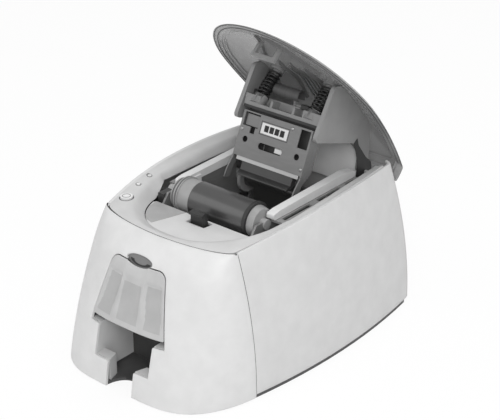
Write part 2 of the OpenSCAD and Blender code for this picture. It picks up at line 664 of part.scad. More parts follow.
// ---- moving trim ----
module control_button() color("white") difference() {
  union() {
    translate([button_x, button_y, 116]) cylinder(r = button_r, h = button_top - 116);
    translate([button_x, button_y, 116]) cylinder(r = button_r + 1.2, h = 1.6);
  }
  translate([button_x, button_y, button_top + 9.6]) sphere(r = 10.2, $fn = 64);
}
module latch_hook() color("dimgray") {
  slab_x(hook_mid - hook_half, hook_mid + hook_half) polygon([[-49, 98], [-54.5, 98],
    [-54.5, 123.2], [-57, 123.6], [-56.4, 125.4], [-52, 126.4], [-49, 124.5]]);
  rod(2.5, hook_mid - 14, hook_mid + 14, hook_y, hook_z);
}
module feeder_door() color("lightgray") {
  difference() {
    intersection() {
      sheet(front_skin(0, -60, 60, 4), front_skin(2.2, -60, 60, 4));
      slab_y(-160, -100) mouth_2d(door_foot_z, -0.1);
    }
    translate([0, -100, notch_z]) rotate([90, 0, 0]) scale([1, 0.3, 1]) cylinder(r = notch_half, h = 60);
  }
  both() {
    slab_x(arm_in, arm_in + 1.2) polygon([[door_y - 3.4, door_pin_z - 1.8],
      [door_y + 1, door_pin_z - 1.8], [door_y + 1.8, door_pin_z], [door_y + 1, door_pin_z + 1.8],
      [door_y - 2.9, door_pin_z + 3.4]]);
    rod(1.2, arm_in - 2, arm_in + 0.1, door_y, door_pin_z);
  }
}

// ---- lid ----
// Turns a shape drawn with the lid shut to where it stands open
module lid_up() {
  translate([0, hinge_y, hinge_z]) rotate([-open_deg, 0, 0]) translate([0, -hinge_y, -hinge_z])
    children();
}
lid_mid_y = 12;
skirt_drop = 12;
function lid_outline(k) = let (n = 40, a = 360 * k / (2 * n)) a <= 90
  ? let (y = 10 - 107 * pow(cos(a), 0.93)) [lid_half * sin(a), y]
  : a <= 150 ? let (y = 10 + (a - 90) / 60 * 96) [lid_x(y), y]
  : let (b = (a - 150) * 3)
    [(lid_x(106) - 9 + 9 * cos(b)) * (1 - max(0, b - 60) / 30), 106 + 9.4 * sin(min(90, b * 1.2))];
function lid_ring(f, up, t) = [for (k = [-39:40]) let (
    p = lid_outline(abs(k)),
    d = norm([p[0], p[1] - lid_mid_y]),
    g = f * (1 - t / d),
    s = k < 0 ? -1 : 1,
    drop = f < 0.999 ? 0 : skirt_drop * pow(max(0, min(1, (p[1] - 107) / 6)), 2)
  ) [s * p[0] * g, lid_mid_y + (p[1] - lid_mid_y) * g, lid_rim(p[1]) - drop + up]];
dome_f = [1, 0.992, 0.96, 0.9, 0.8, 0.66, 0.48, 0.26];
function dome_up(f) = dome_h * pow(max(0, 1 - pow(f, 2.5)), 0.8);
lid_n = 80;
// Faces between stacked rings of lid_n points that start at index q; flip turns them inside out
function ring_faces(q, rows, flip) = [for (i = [0:rows-2], j = [0:lid_n-1]) let (
    j2 = (j + 1) % lid_n,
    a = q + i * lid_n + j, b = q + i * lid_n + j2, c = a + lid_n, d = b + lid_n
  ) each (flip ? [[a, b, d], [a, d, c]] : [[a, d, b], [a, c, d]])];
module lid_shell() color("dimgray", 0.6) lid_up() {
  m = len(dome_f);
  q = m * lid_n;
  outer = [for (f = dome_f) lid_ring(f, dome_up(f), 0)];
  inner = [for (f = dome_f) lid_ring(f, f > 0.999 ? 0 : max(0, dome_up(f) - lid_wall), lid_wall)];
  top_o = [0, lid_mid_y, lid_rim(lid_mid_y) + dome_h];
  pts = concat([for (r = outer) each r], [for (r = inner) each r], [top_o, top_o - [0, 0, lid_wall]]);
  caps = [for (j = [0:lid_n-1]) let (j2 = (j + 1) % lid_n, i = q - lid_n) each [
    [i + j2, i + j, 2 * q], [q + i + j, q + i + j2, 2 * q + 1], [j, j2, q + j2], [j, q + j2, q + j]]];
  polyhedron(pts, concat(ring_faces(0, m, false), ring_faces(q, m, true), caps), convexity = 8);
}
// Solid that fills the lid, used to trim what hangs inside it
module lid_core() {
  t = lid_wall + 0.05;
  m = len(dome_f) + 1;
  low = [for (p = lid_ring(1, 0, t)) [p[0], p[1], 104]];
  rings = concat([low], [for (f = dome_f) lid_ring(f, (f > 0.999 ? 0 : max(0, dome_up(f) - t)), t)]);
  top_i = [0, lid_mid_y, lid_rim(lid_mid_y) + dome_h - t];
  mid_b = [0, lid_mid_y, 104];
  pts = concat([for (r = rings) each r], [top_i, mid_b]);
  q = m * lid_n;
  caps = [for (j = [0:lid_n-1]) let (j2 = (j + 1) % lid_n, i = q - lid_n) each [
    [i + j2, i + j, q], [j, j2, q + 1]]];
  polyhedron(pts, concat(ring_faces(0, m, false), caps), convexity = 8);
}
cheek_in = 41.2;
cheek_out = 45;
module cheek_2d() {
  offset(r = 4) offset(delta = -4) polygon([[2, 86], [-13, 134], [-2, 143], [60, 143],
    [86, 118], [85.5, 109.5], [100, 92], [hinge_y + 8, hinge_z + 2], [hinge_y + 2, hinge_z - 8],
    [hinge_y - 8, hinge_z - 4],
    [88, 94], [70, 117], [51, 116]]);
}
module lid_frame() color("darkgray") lid_up() difference() {
  union() {
    both() slab_x(cheek_in, cheek_out) cheek_2d();
    slab_x(-cheek_in - 0.1, cheek_in + 0.1) polygon([[66.2, 121.1], [66.2, 146], [69.2, 146], [69.2, 124],
      [98, 99.1], [96.2, 96.1]]);
  }
  rod(4 + play, -50, 50, hinge_y, hinge_z);
  difference() {
    span([-90, -110, 119], [90, 130, 170]);
    lid_core();
  }
}
module rib_bars() both() translate([0, 0, 120]) linear_extrude(height = 40) {
  polygon([[1.5, -80], [5, -80], [31, -18], [27.6, -18]]);
  for (k = [0:3]) translate([0, -32 - 10 * k]) square([24 - 4.2 * k, 1.6]);
}
rib_deep = 3;
module lid_rib() color("gray") lid_up() difference() {
  intersection() {
    rib_bars();
    lid_core();
  }
  translate([0, 0, -rib_deep]) lid_core();
  both() span([catch_in - 0.4, catch_front - 0.4, 110], [catch_out + 0.4, catch_rear + 0.4, 160]);
}
catch_in = 9.4;
catch_out = 12;
catch_front = -61.6;
catch_rear = -57.6;
module lid_catch() color("dimgray") lid_up() intersection() {
  union() {
    span([-catch_out, catch_front, 118.8], [catch_out, catch_rear, 122]);
    both() span([catch_in, catch_front, 118.8], [catch_out, catch_rear, 150]);
  }
  lid_core();
}
spring_x = 29;
spring_y = 2;
spring_lo = 112.4;
spring_hi = 139;
coil_r = 5.5;
module spring_posts() color("gray") lid_up() {
  intersection() {
    both() translate([spring_x, spring_y, spring_hi]) cylinder(r = 6.6, h = 20);
    lid_core();
  }
  both() translate([spring_x, spring_y, spring_hi - 4]) cylinder(r = 3.6, h = 4.1);
}
module head_springs() color("silver") lid_up() both() {
  turns = 7;
  pitch = (spring_hi - spring_lo) / turns;
  for (k = [0:turns-1]) translate([spring_x, spring_y, spring_lo + pitch * (k + 0.5)])
    rotate_extrude() translate([coil_r, 0]) circle(r = 0.6, $fn = 12);
  for (k = [0:turns-2]) translate([spring_x + coil_r, spring_y, spring_lo + pitch * (k + 0.5)])
    cylinder(r = 0.5, h = pitch);
}
module head_cable() color("whitesmoke") lid_up() slab_x(-22, 6) difference() {
  translate([6, 124.2]) circle(r = 5.5);
  translate([6, 124.2]) circle(r = 5.1);
  translate([6, 112]) square([8, 12]);
}

// ---- print head ----
module head_frame() {
  translate([0, head_y, head_z]) rotate([-head_lean, 0, 0]) children();
}
module head_bracket() color("darkgray") head_frame() difference() {
  union() {
    span([-head_half, 0, 0], [head_half, 1.2, head_h]);
    both() slab_x(head_half - 1.2, head_half) polygon([[0, head_h], [14, head_h], [14, 4], [5, -8],
      [3, -21.1], [-4.6, -21.1], [-4, -14], [0, -2]]);
  }
  slab_y(-2, 3) {
    translate([-35.4, 27]) square([16.4, 12]);
    translate([-26.4, 21.6]) square([5, 5.5]);
    translate([-29.2, 15.5]) circle(r = 2.7);
    translate([27.9, 14.6]) circle(r = 2.7);
    translate([25.6, 22.6]) square([10.4, 16]);
    hull() {
      translate([-11, 13.7]) circle(r = 2.9);
      translate([9.3, 13.7]) circle(r = 2.9);
    }
  }
}
// Round of radius r and height h from height z under a spring, drawn with the head's plate upright
module spring_round(r, z, h) {
  rotate([head_lean, 0, 0]) translate([0, -head_y, -head_z]) lid_up()
    translate([spring_x, spring_y, z]) cylinder(r = r, h = h);
}
module spring_seat() spring_round(6.6, spring_lo - 9, 9);
module coil_room() spring_round(7.2, spring_lo, 12);
module head_carrier() color("gray") head_frame() difference() {
  union() {
    span([-40.5, 0, 43.2], [40.5, 17, 48]);
    span([-40.5, 0, 47.9], [-24.2, 17, 54.6]);
    span([22.4, 0, 47.9], [40.5, 17, 54.6]);
    for (x = [-11.4, 12.4]) span([x - 1.1, 0, 47.9], [x + 1.1, 12, 53.8]);
    span([-24.3, 11, 47.9], [22.5, 17, 54.6]);
    span([-36.4, 6, 4], [36.4, 13.6, 45.6]);
    both() spring_seat();
  }
  span([-12, 3, 8], [12, 7.6, 20]);
  both() coil_room();
}
module head_sink() color("silver") head_frame() difference() {
  span([-34, 1.4, -3.4], [34, 13.4, 3.6]);
  for (k = [0:5]) span([-36, 6 + 1.3 * k, -2], [36, 6.6 + 1.3 * k, 2.4]);
}
module thermal_bar() color("dimgray") head_frame()
  slab_x(-28, 28) polygon([[3, -3.5], [9, -3.5], [9, -11], [6, -13.4], [0.6, -16],
    [-1, -16], [-1, -14.6], [3, -11]]);
module head_label() color("white") head_frame()
  translate([-15, -0.25, 24.7]) cube([28.4, 0.24, 9.3]);
module head_plug() color("white") head_frame() span([2, 3.1, 11.6], [10.6, 5.9, 16]);

// ---- assembly ----
base_pan();
rubber_feet();
front_panel();
side_panel_left();
side_panel_right();
rear_panel();
top_bezel();
latch_deck();
inner_decks();
rail_left();
rail_right();
side_plates();
cross_braces();
feeder_tray();
output_hopper();
card_throat();
card_guide();
shaft_bushes();
drive_motor();
takeup_motor();
drive_belt();
main_board();
board_parts();
power_inlet();
usb_socket();
indicator_lights();
hinge_shaft();
hinge_brackets();
ribbon_web();
panel_screws();
lid_shell();
lid_frame();
lid_rib();
lid_catch();
spring_posts();
head_cable();
head_springs();
head_bracket();
head_carrier();
head_sink();
thermal_bar();
head_label();
head_plug();
feeder_door();
control_button();
latch_hook();
takeup_core();
takeup_roll();
takeup_drive();
supply_core();
supply_roll();
platen_roller();
platen_shaft();
transport_roller();
transport_shaft();
feed_roller();
feed_shaft();
motor_pulley();
pinch_roller();
cleaning_roller();
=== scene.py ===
"""Looks of the id card printer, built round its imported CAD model.

Lengths are millimetres in the model's own frame: X to the right, Y to the rear, Z up, the desk at
Z = 0. They turn into metres where a mesh is made. The studio's floor and lamps are in metres. The
lid and what hangs in it are described with the lid shut, and then turned up to where it stands at
rest.
"""

import math

import bpy
import numpy as np
from mathutils import Matrix, Vector
from mathutils.geometry import delaunay_2d_cdt


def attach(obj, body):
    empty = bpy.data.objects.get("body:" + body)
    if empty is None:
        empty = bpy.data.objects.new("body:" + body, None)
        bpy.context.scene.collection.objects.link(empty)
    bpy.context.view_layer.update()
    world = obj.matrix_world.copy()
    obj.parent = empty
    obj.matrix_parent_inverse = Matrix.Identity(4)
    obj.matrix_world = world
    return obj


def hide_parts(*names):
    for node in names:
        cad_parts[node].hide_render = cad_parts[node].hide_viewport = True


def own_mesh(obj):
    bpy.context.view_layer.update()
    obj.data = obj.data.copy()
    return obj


MM = 0.001
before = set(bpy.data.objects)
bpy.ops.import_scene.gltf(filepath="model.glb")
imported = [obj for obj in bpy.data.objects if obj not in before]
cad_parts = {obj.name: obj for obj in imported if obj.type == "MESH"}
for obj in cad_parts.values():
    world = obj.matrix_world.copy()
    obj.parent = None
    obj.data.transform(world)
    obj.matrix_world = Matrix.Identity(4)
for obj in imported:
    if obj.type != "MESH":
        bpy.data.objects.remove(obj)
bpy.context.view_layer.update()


def add_object(name, data):
    thing = bpy.data.objects.new(name, data)
    bpy.context.scene.collection.objects.link(thing)
    return thing


# ---------------- camera
CAMERA_AT = (770.0, -909.4, 701.5)
CAMERA_AZIMUTH = math.radians(39.8)
CAMERA_ELEVATION = math.radians(26.5)
CAMERA_LENS = 112.75


def make_camera():
    data = bpy.data.cameras.new("camera")
    camera = add_object("camera", data)
    a, e = CAMERA_AZIMUTH, CAMERA_ELEVATION
    back = Vector((math.sin(a) * math.cos(e), -math.cos(a) * math.cos(e), math.sin(e)))
    camera.location = Vector(CAMERA_AT) * MM
    camera.rotation_mode = "QUATERNION"
    camera.rotation_quaternion = (-back).to_track_quat("-Z", "Y")
    data.lens = CAMERA_LENS
    data.sensor_width = 36.0
    data.clip_start, data.clip_end = 0.05, 20.0
    bpy.context.scene.camera = camera


# ---------------- body surface
BODY_HALF = 102.5
SKIRT_Z = 3.6
FRONT_FOOT = 0.7
SEAM_Z = 124.7
SHOULDER_Z = 100.0
SHOULDER_IN = 16.3
SHOULDER_LONG = 33.0
WALL = 2.6
CORNER_R = 7.0
REAR_TOP = 115.8
PANEL_GAP = 0.25
# Radius of the dark tubes of painted shade in the seams
SEAM_SHADE_R = 0.8


def side_lean(y):
    return 18.3 + (6 if y < 0 else 1) * (y / 90) ** 2


def side_x(y, z):
    """Half width of the body at Y and height z."""
    return BODY_HALF - (y - 23.6) ** 2 / 1200 - side_lean(y) * (z / 130) ** 2


def rim_z(y):
    return 134.4 - 0.00047 * (y - 58) ** 2


def seam_y(z):
    """Y of the seam between the front and a side panel."""
    return -87.6 + 2.1 * z / SEAM_Z


def nose_y(z):
    """Y of the front's foremost line."""
    y = -153 + 0.13 * z + 0.00113 * z * z
    if z > SHOULDER_Z:
        f = min(1.0, (z - SHOULDER_Z) / (SEAM_Z - SHOULDER_Z))
        y += SHOULDER_IN * (1 - math.sqrt(1 - f * f))
    return y


def nose_powers(z):
    """Powers of the front's plan outline across and fore and aft; the base is squarer than the top."""
    low = max(0.0, 1 - z / SEAM_Z) ** 1.5
    return 1.8 + 2.5 * low, 1.8 - 0.4 * low


def back_y(z):
    return 126.4 - 7.8 * (z / 132) ** 2


FRONT_U = 130.0


def front_at(u, v):
    """Point of the front. u runs from -130 at the left seam to 130 at the right one; v climbs."""
    z = v
    if v > SHOULDER_Z:
        z = SHOULDER_Z + (SEAM_Z - SHOULDER_Z) * math.sin((v - SHOULDER_Z) / SHOULDER_LONG * math.pi / 2)
    m, k = nose_powers(z)
    s = min(1.0, abs(u) / FRONT_U)
    a = math.pi / 2 * s ** (m / 2)
    seam = seam_y(z)
    x = side_x(seam, z) * math.sin(a) ** (2 / m)
    y = seam - (seam - nose_y(z)) * max(0.0, math.cos(a)) ** (2 / k)
    return math.copysign(x, u), y, z


def front_uv(x, z):
    """(u, v) of the front's point that is seen at (x, z) from straight ahead."""
    m = nose_powers(z)[0]
    a = math.asin(min(1.0, (abs(x) / side_x(seam_y(z), z)) ** (m / 2)))
    u = FRONT_U * (a / (math.pi / 2)) ** (2 / m)
    v = z
    if z > SHOULDER_Z:
        f = min(1.0, (z - SHOULDER_Z) / (SEAM_Z - SHOULDER_Z))
        v = SHOULDER_Z + SHOULDER_LONG * math.asin(f) / (math.pi / 2)
    return math.copysign(u, x), v


SIDE_LONG = 206.0
SIDE_HIGH = 128.0
CORNER_LONG = CORNER_R * math.pi / 2


def side_at(s, u, v):
    """Point of a side panel, s = 1 right or -1 left. u runs rearwards and round the rear corner."""
    f = min(1.0, u / SIDE_LONG)
    bend = max(0.0, u - SIDE_LONG) / CORNER_R
    h = v / SIDE_HIGH
    y0 = seam_y(SKIRT_Z + h * 121) + PANEL_GAP
    ya = y0 + f * (back_y(60) - CORNER_R - y0)
    z = SKIRT_Z + h * (rim_z(ya) - SKIRT_Z)
    y1 = seam_y(z) + PANEL_GAP
    yb = y1 + f * (back_y(z) - CORNER_R - y1)
    x = side_x(yb, z) - CORNER_R * (1 - math.cos(bend))
    return s * x, yb + CORNER_R * math.sin(bend), z


def rear_half(z):
    return side_x(back_y(z) - CORNER_R, z) - CORNER_R - PANEL_GAP


# ---------------- bezel and lid outlines
BEZEL_REAR = 106.0
DECK_REAR = -43.5
DECK_Z = 115.2
DECK_TILT = math.radians(4.6)
LID_HALF = 77.6
LID_MID_Y = 12.0
DOME_H = 16.0
LID_WALL = 2.4
SKIRT_DROP = 12.0
OPEN_ANGLE = math.radians(50.2)
HINGE_Y, HINGE_Z = 109.7, 80.2


def lid_x(y):
    if y < 10:
        return LID_HALF * math.sqrt(max(0.0, 1 - min(1.0, (10 - y) / 107) ** 2.15))
    return LID_HALF - 12.1 * ((y - 10) / 100) ** 1.6


def lid_rim(y):
    return rim_z(y) - 1.7 + 4.2 * (max(0.0, -20 - y) / 77) ** 1.6


def dome_up(f):
    """Rise of the lid over its rim, f from 0 at the crown to 1 at the rim."""
    return DOME_H * max(0.0, 1 - f**2.5) ** 0.8


def deck_height(y):
    return DECK_Z + (DECK_REAR - y) * math.tan(DECK_TILT)


def recess_edge(q):
    """Inner edge of the bezel: q = 0 at the nose, 1 at Y = -20, 2 at the rear."""
    if q <= 1:
        a = math.pi / 2 * q
        y = -20 - 77.8 * abs(math.cos(a)) ** 1.11
        return np.array((70 * math.sin(a) ** 0.833, y, lid_rim(y) - 0.8))
    y = -20 + (q - 1) * (BEZEL_REAR + 20)
    return np.array((70 - 3.5 * (max(0.0, y + 20) / 112) ** 3, y, lid_rim(y) - 1.2))


def bezel_out(q):
    """Outer edge of the bezel, just inside the front and side panels."""
    if q <= 0.53:
        a = math.pi / 2 * q / 0.53
        m, k = nose_powers(SEAM_Z)
        seam = seam_y(SEAM_Z)
        gap = 0.45 + (WALL - 0.15) * math.sin(a) ** 4
        x = (side_x(seam, SEAM_Z) - gap) * math.sin(a) ** (2 / m)
        y = seam - (seam - nose_y(SEAM_Z) - gap) * max(0.0, math.cos(a)) ** (2 / k)
        return np.array((x, y, SEAM_Z - 0.1))
    if q <= 1:
        y = seam_y(SEAM_Z) + (q - 0.53) / 0.47 * (-20 - seam_y(SEAM_Z))
    else:
        y = -20 + (q - 1) * (BEZEL_REAR + 20)
    return np.array((side_x(y, rim_z(y)) - WALL - 0.3, y, max(SEAM_Z - 0.1, rim_z(y) - 0.2)))


def bezel_seat(q):
    e, o = recess_edge(q), bezel_out(q)
    m = e + (o - e) * (0.55 + 0.14 * q)
    if q <= 1:
        return np.array((m[0], m[1], lid_rim(m[1]) - 0.7))
    return np.array((lid_x(e[1]) + 0.8, e[1], lid_rim(e[1]) - 0.7))


def recess_foot(q):
    e = recess_edge(q)
    if q <= 1:
        a = math.pi / 2 * q
        join = max(0.0, (q - 0.8) / 0.2) ** 2
        y = -20 - 68.8 * abs(math.cos(a)) ** 1.11
        z = min(124.0, deck_height(e[1]) if e[1] < DECK_REAR else DECK_Z + (e[1] - DECK_REAR) * 0.4) + 0.2
        return np.array(((61 + 6 * join) * math.sin(a) ** 0.833, y, z + (122.4 - z) * join))
    return np.array((e[0] - 3, e[1], 122.4))


def soft_line(points, radii, t):
    """Point at share t of a line through points, whose corners are rounded over radii."""
    pts = [np.asarray(p, float) for p in points]
    runs = []
    at = pts[0]
    for k in range(1, len(pts) - 1):
        p, before, after = pts[k], at - pts[k], pts[k + 1] - pts[k]
        r = min(radii[k - 1], 0.9 * np.linalg.norm(before), 0.49 * np.linalg.norm(after))
        a = p + before / np.linalg.norm(before) * r
        b = p + after / np.linalg.norm(after) * r
        runs.append((np.linalg.norm(a - at), (at, a)))
        runs.append((np.linalg.norm(b - a) * 1.1, (a, p, b)))
        at = b
    runs.append((np.linalg.norm(pts[-1] - at), (at, pts[-1])))
    left = t * sum(r[0] for r in runs)
    for k, (long, p) in enumerate(runs):
        if left <= long or k == len(runs) - 1:
            f = min(1.0, left / max(long, 1e-9))
            if len(p) == 2:
                return p[0] + (p[1] - p[0]) * f
            return p[0] * (1 - f) ** 2 + 2 * p[1] * f * (1 - f) + p[2] * f * f
        left -= long


BEZEL_U = 180.0
BEZEL_V = 50.0


def bezel_at(u, v):
    """Point of the bezel. u runs round it from the left rear to the right rear; v from outside in."""
    q = min(2.0, abs(u) / BEZEL_U)
    line = (bezel_out(q), bezel_seat(q), recess_edge(q), recess_foot(q))
    p = soft_line(line, (9.0, 4.2), v / BEZEL_V)
    return math.copysign(p[0], u), p[1], p[2]


def lid_outline(a):
    """Rim of the shut lid in plan, a = 0 at its front and 180 at its rear, in degrees."""
    if a <= 90:
        t = math.radians(a)
        return LID_HALF * math.sin(t), 10 - 107 * max(0.0, math.cos(t)) ** 0.93
    if a <= 150:
        y = 10 + (a - 90) / 60 * 96
        return lid_x(y), y
    b = (a - 150) * 3
    x = (lid_x(106) - 9 + 9 * math.cos(math.radians(b))) * (1 - max(0, b - 60) / 30)
    return x, 106 + 9.4 * math.sin(math.radians(min(90, b * 1.2)))


def lid_point(a, f, inset):
    """Point of the shut lid: a round it (-180 to 180), f from 0 at the crown to 1 at the rim."""
    x, y = lid_outline(abs(a))
    x = math.copysign(x, a)
    far = math.hypot(x, y - LID_MID_Y)
    g = f * (1 - inset / far)
    up = dome_up(f)
    drop = SKIRT_DROP * max(0.0, min(1.0, (y - 107) / 6)) ** 2 * max(0.0, (f - 0.9) / 0.1)
    return x * g, LID_MID_Y + (y - LID_MID_Y) * g, lid_rim(y) - drop + up


def raise_lid(points):
    """Turns points drawn with the lid shut up to where the lid stands at rest."""
    c, k = math.cos(OPEN_ANGLE), math.sin(OPEN_ANGLE)
    out = np.asarray(points, float).copy()
    y, z = out[..., 1] - HINGE_Y, out[..., 2] - HINGE_Z
    out[..., 1] = HINGE_Y + y * c + z * k
    out[..., 2] = HINGE_Z - y * k + z * c
    return out


# ---------------- mesh helpers
SMOOTH_BELOW = math.radians(38)


def add_piece(name, verts, faces, material, body, slot, replaces=(), smooth_below=SMOOTH_BELOW):
    """Makes a mesh object from points in mm and hangs it on a body."""
    mesh = bpy.data.meshes.new(name)
    mesh.from_pydata([tuple(float(c) * MM for c in v) for v in verts], [], faces)
    mesh.update()
    mesh.materials.append(material)
    for polygon in mesh.polygons:
        polygon.use_smooth = True
    mesh.set_sharp_from_angle(angle=smooth_below)
    piece = add_object(name, mesh)
    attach(piece, body)
    if replaces:
        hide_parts(*replaces)
    return piece


def join_parts(parts):
    """One list of points and one of faces from several (points, faces) pairs."""
    verts, faces = [], []
    for v, f in parts:
        base = len(verts)
        verts.extend(v)
        faces.extend([tuple(base + i for i in face) for face in f])
    return verts, faces


def grid_faces(rows, columns, base=0, wrap=False):
    """Quads of a grid of points stored row by row; wrap joins the last column to the first."""
    faces = []
    for i in range(rows - 1):
        for j in range(columns if wrap else columns - 1):
            k = (j + 1) % columns
            a, b = base + i * columns, base + (i + 1) * columns
            faces.append((a + j, a + k, b + k, b + j))
    return faces


def flipped(faces):
    """The same faces looking the other way."""
    return [tuple(reversed(f)) for f in faces]


def full_turn(n):
    """n angles spread evenly round a full turn."""
    return np.linspace(0, 2 * math.pi, n + 1)[:-1]


def ring_faces(rows, n):
    """Quads of rows of n points, with the last row joined to the first as well."""
    last = (rows - 1) * n
    closing = [(last + j, last + (j + 1) % n, (j + 1) % n, j) for j in range(n)]
    return grid_faces(rows, n, wrap=True) + closing


def end_faces(count, n):
    """The faces that close the first and the last n of count points, which are stored ring by ring."""
    return [tuple(reversed(range(n))), tuple(range(count - n, count))]


def add_joined(name, parts, *looks, place=list):
    """Makes one piece of several (points, faces) pairs; looks is what add_piece takes after the faces."""
    verts, faces = join_parts(parts)
    return add_piece(name, place(verts), faces, *looks)


def inset_loop(loop, distance):
    """A closed loop moved to its left by distance; the material is on its left."""
    p = np.asarray(loop, float)
    along = np.roll(p, -1, 0) - p
    along /= np.linalg.norm(along, axis=1)[:, None]
    left = np.stack((-along[:, 1], along[:, 0]), 1)
    both = left + np.roll(left, 1, 0)
    both /= np.maximum(0.6, np.linalg.norm(both, axis=1))[:, None]
    scale = 1 / np.maximum(0.6, np.sum(both * left, 1))
    return p + both * (distance * np.minimum(1.5, scale))[:, None]


def inside_loops(points, loops):
    """Which points lie inside an odd number of the loops."""
    x, y = points[:, 0][:, None], points[:, 1][:, None]
    odd = np.zeros(len(points), int)
    for loop in loops:
        a, b = np.asarray(loop, float), np.roll(np.asarray(loop, float), -1, 0)
        rise = np.where(np.abs(b[:, 1] - a[:, 1]) < 1e-12, 1e-12, b[:, 1] - a[:, 1])
        crosses = (a[:, 1] > y) != (b[:, 1] > y)
        odd += (crosses & (x < (b[:, 0] - a[:, 0]) * (y - a[:, 1]) / rise + a[:, 0])).sum(1)
    return odd % 2 == 1


def fill_loops(loops, step):
    """Triangles that fill the first loop outside the others, with a grid of inner points."""
    border = np.concatenate(loops)
    low, high = border.min(0), border.max(0)
    columns, rows = (max(2, int((high[k] - low[k]) / step)) for k in (0, 1))
    grid = np.array([(low[0] + (high[0] - low[0]) * (i + 0.5) / columns,
                      low[1] + (high[1] - low[1]) * (j + 0.5) / rows)
                     for j in range(rows) for i in range(columns)])
    grid = grid[inside_loops(grid, loops)]
    near = np.array([np.min(np.sum((border - g) ** 2, 1)) for g in grid]) if len(grid) else grid
    grid = grid[near > (0.55 * step) ** 2] if len(grid) else grid
    edges, base = [], 0
    for loop in loops:
        edges += [(base + i, base + (i + 1) % len(loop)) for i in range(len(loop))]
        base += len(loop)
    points = [Vector(p) for p in (np.concatenate([border, grid]) if len(grid) else border)]
    verts, _, faces, origin, _, _ = delaunay_2d_cdt(points, edges, [], 0, 1e-5)
    first = {o: i for i, group in enumerate(origin) for o in group}
    flat = np.array([tuple(v) for v in verts])
    middles = np.array([flat[list(f)].mean(0) for f in faces])
    keep = inside_loops(middles, loops)
    order = [first[i] for i in range(len(border))]
    return flat, [tuple(f) for f, k in zip(faces, keep) if k], order


def surface_normal(at, u, v):
    d = 0.4
    du = np.subtract(at(u + d, v), at(u - d, v))
    dv = np.subtract(at(u, v + d), at(u, v - d))
    n = np.cross(du, dv)
    return n / max(1e-9, np.linalg.norm(n))


def shell(at, loops, thick, lip, step, flip=False):
    """A thick sheet on the surface at(u, v), cut to the loops, with rounded lips round every edge.

    Each loop has the material on its left. The sheet grows inwards from the surface by thick.
    """
    steps = 4
    inner = [inset_loop(loop, lip) for loop in loops]
    flat, faces, order = fill_loops(inner, step)
    side = -1 if flip else 1
    cache = {}

    def spot(u, v):
        key = (round(float(u), 5), round(float(v), 5))
        if key not in cache:
            cache[key] = (np.array(at(*key)), surface_normal(at, *key) * side)
        return cache[key]

    verts = [spot(*p)[0] for p in flat]
    count = len(verts)
    verts += [spot(*p)[0] - spot(*p)[1] * thick for p in flat]
    out = [tuple(f) for f in faces] + [tuple(count + i for i in reversed(f)) for f in faces]
    base = 0
    for loop, short in zip(loops, inner):
        n = len(loop)
        rings = [[order[base + i] for i in range(n)]]
        for k in range(1, steps + 1):
            a = math.pi / 2 * k / steps
            ring = []
            for i in range(n):
                p = short[i] + (np.asarray(loop[i]) - short[i]) * math.sin(a)
                q, normal = spot(*p)
                ring.append(len(verts))
                verts.append(q - normal * lip * (1 - math.cos(a)))
            rings.append(ring)
        ring = []
        for i in range(n):
            q, normal = spot(*loop[i])
            ring.append(len(verts))
            verts.append(q - normal * thick)
        rings.append(ring)
        rings.append([count + order[base + i] for i in range(n)])
        for a, b in zip(rings, rings[1:]):
            out += [(a[i], b[i], b[(i + 1) % n], a[(i + 1) % n]) for i in range(n)]
        base += n
    return verts, flipped(out) if flip else out


def dense(points, step):
    """A closed loop through the points with a point every step or less."""
    p = np.asarray(points, float)
    out = []
    for a, b in zip(p, np.roll(p, -1, 0)):
        n = max(1, int(math.ceil(np.linalg.norm(b - a) / step)))
        out += [a + (b - a) * k / n for k in range(n)]
    return np.array(out)


def rounded_loop(points, radii, step=1.0):
    """A closed loop whose corners are rounded; radii is one number or one for each corner."""
    p = np.asarray(points, float)
    radii = [radii] * len(p) if np.isscalar(radii) else radii
    out = []
    for k, r in enumerate(radii):
        a, b, c = p[k - 1], p[k], p[(k + 1) % len(p)]
        back, on = (a - b) / np.linalg.norm(a - b), (c - b) / np.linalg.norm(c - b)
        half = math.acos(max(-1.0, min(1.0, float(back @ on)))) / 2
        reach = r / math.tan(half)
        centre = b + (back + on) / np.linalg.norm(back + on) * r / math.sin(half)
        p0, p1 = b + back * reach, b + on * reach
        turn = math.pi - 2 * half
        n = max(2, int(math.ceil(r * turn / step)) + 2)
        a0 = math.atan2(*(p0 - centre)[::-1])
        a1 = math.atan2(*(p1 - centre)[::-1])
        sweep = (a1 - a0 + math.pi) % (2 * math.pi) - math.pi
        out += [centre + r * np.array((math.cos(a), math.sin(a))) for a in np.linspace(a0, a0 + sweep, n)]
    return dense(out, step)


# ---------------- materials
def linear(byte):
    """Linear light of a grey that is written as 0 to 255."""
    c = byte / 255
    return c / 12.92 if c <= 0.04045 else ((c + 0.055) / 1.055) ** 2.4


def tinted(byte, tint=(1, 1, 1)):
    return tuple(linear(byte) * t for t in tint) + (1.0,)


def add_node(tree, kind, **inputs):
    """Adds a shader node and sets its inputs; an underscore in an input's name stands for a space."""
    node = tree.nodes.new(kind)
    for name, value in inputs.items():
        node.inputs[name.replace("_", " ")].default_value = value
    return node


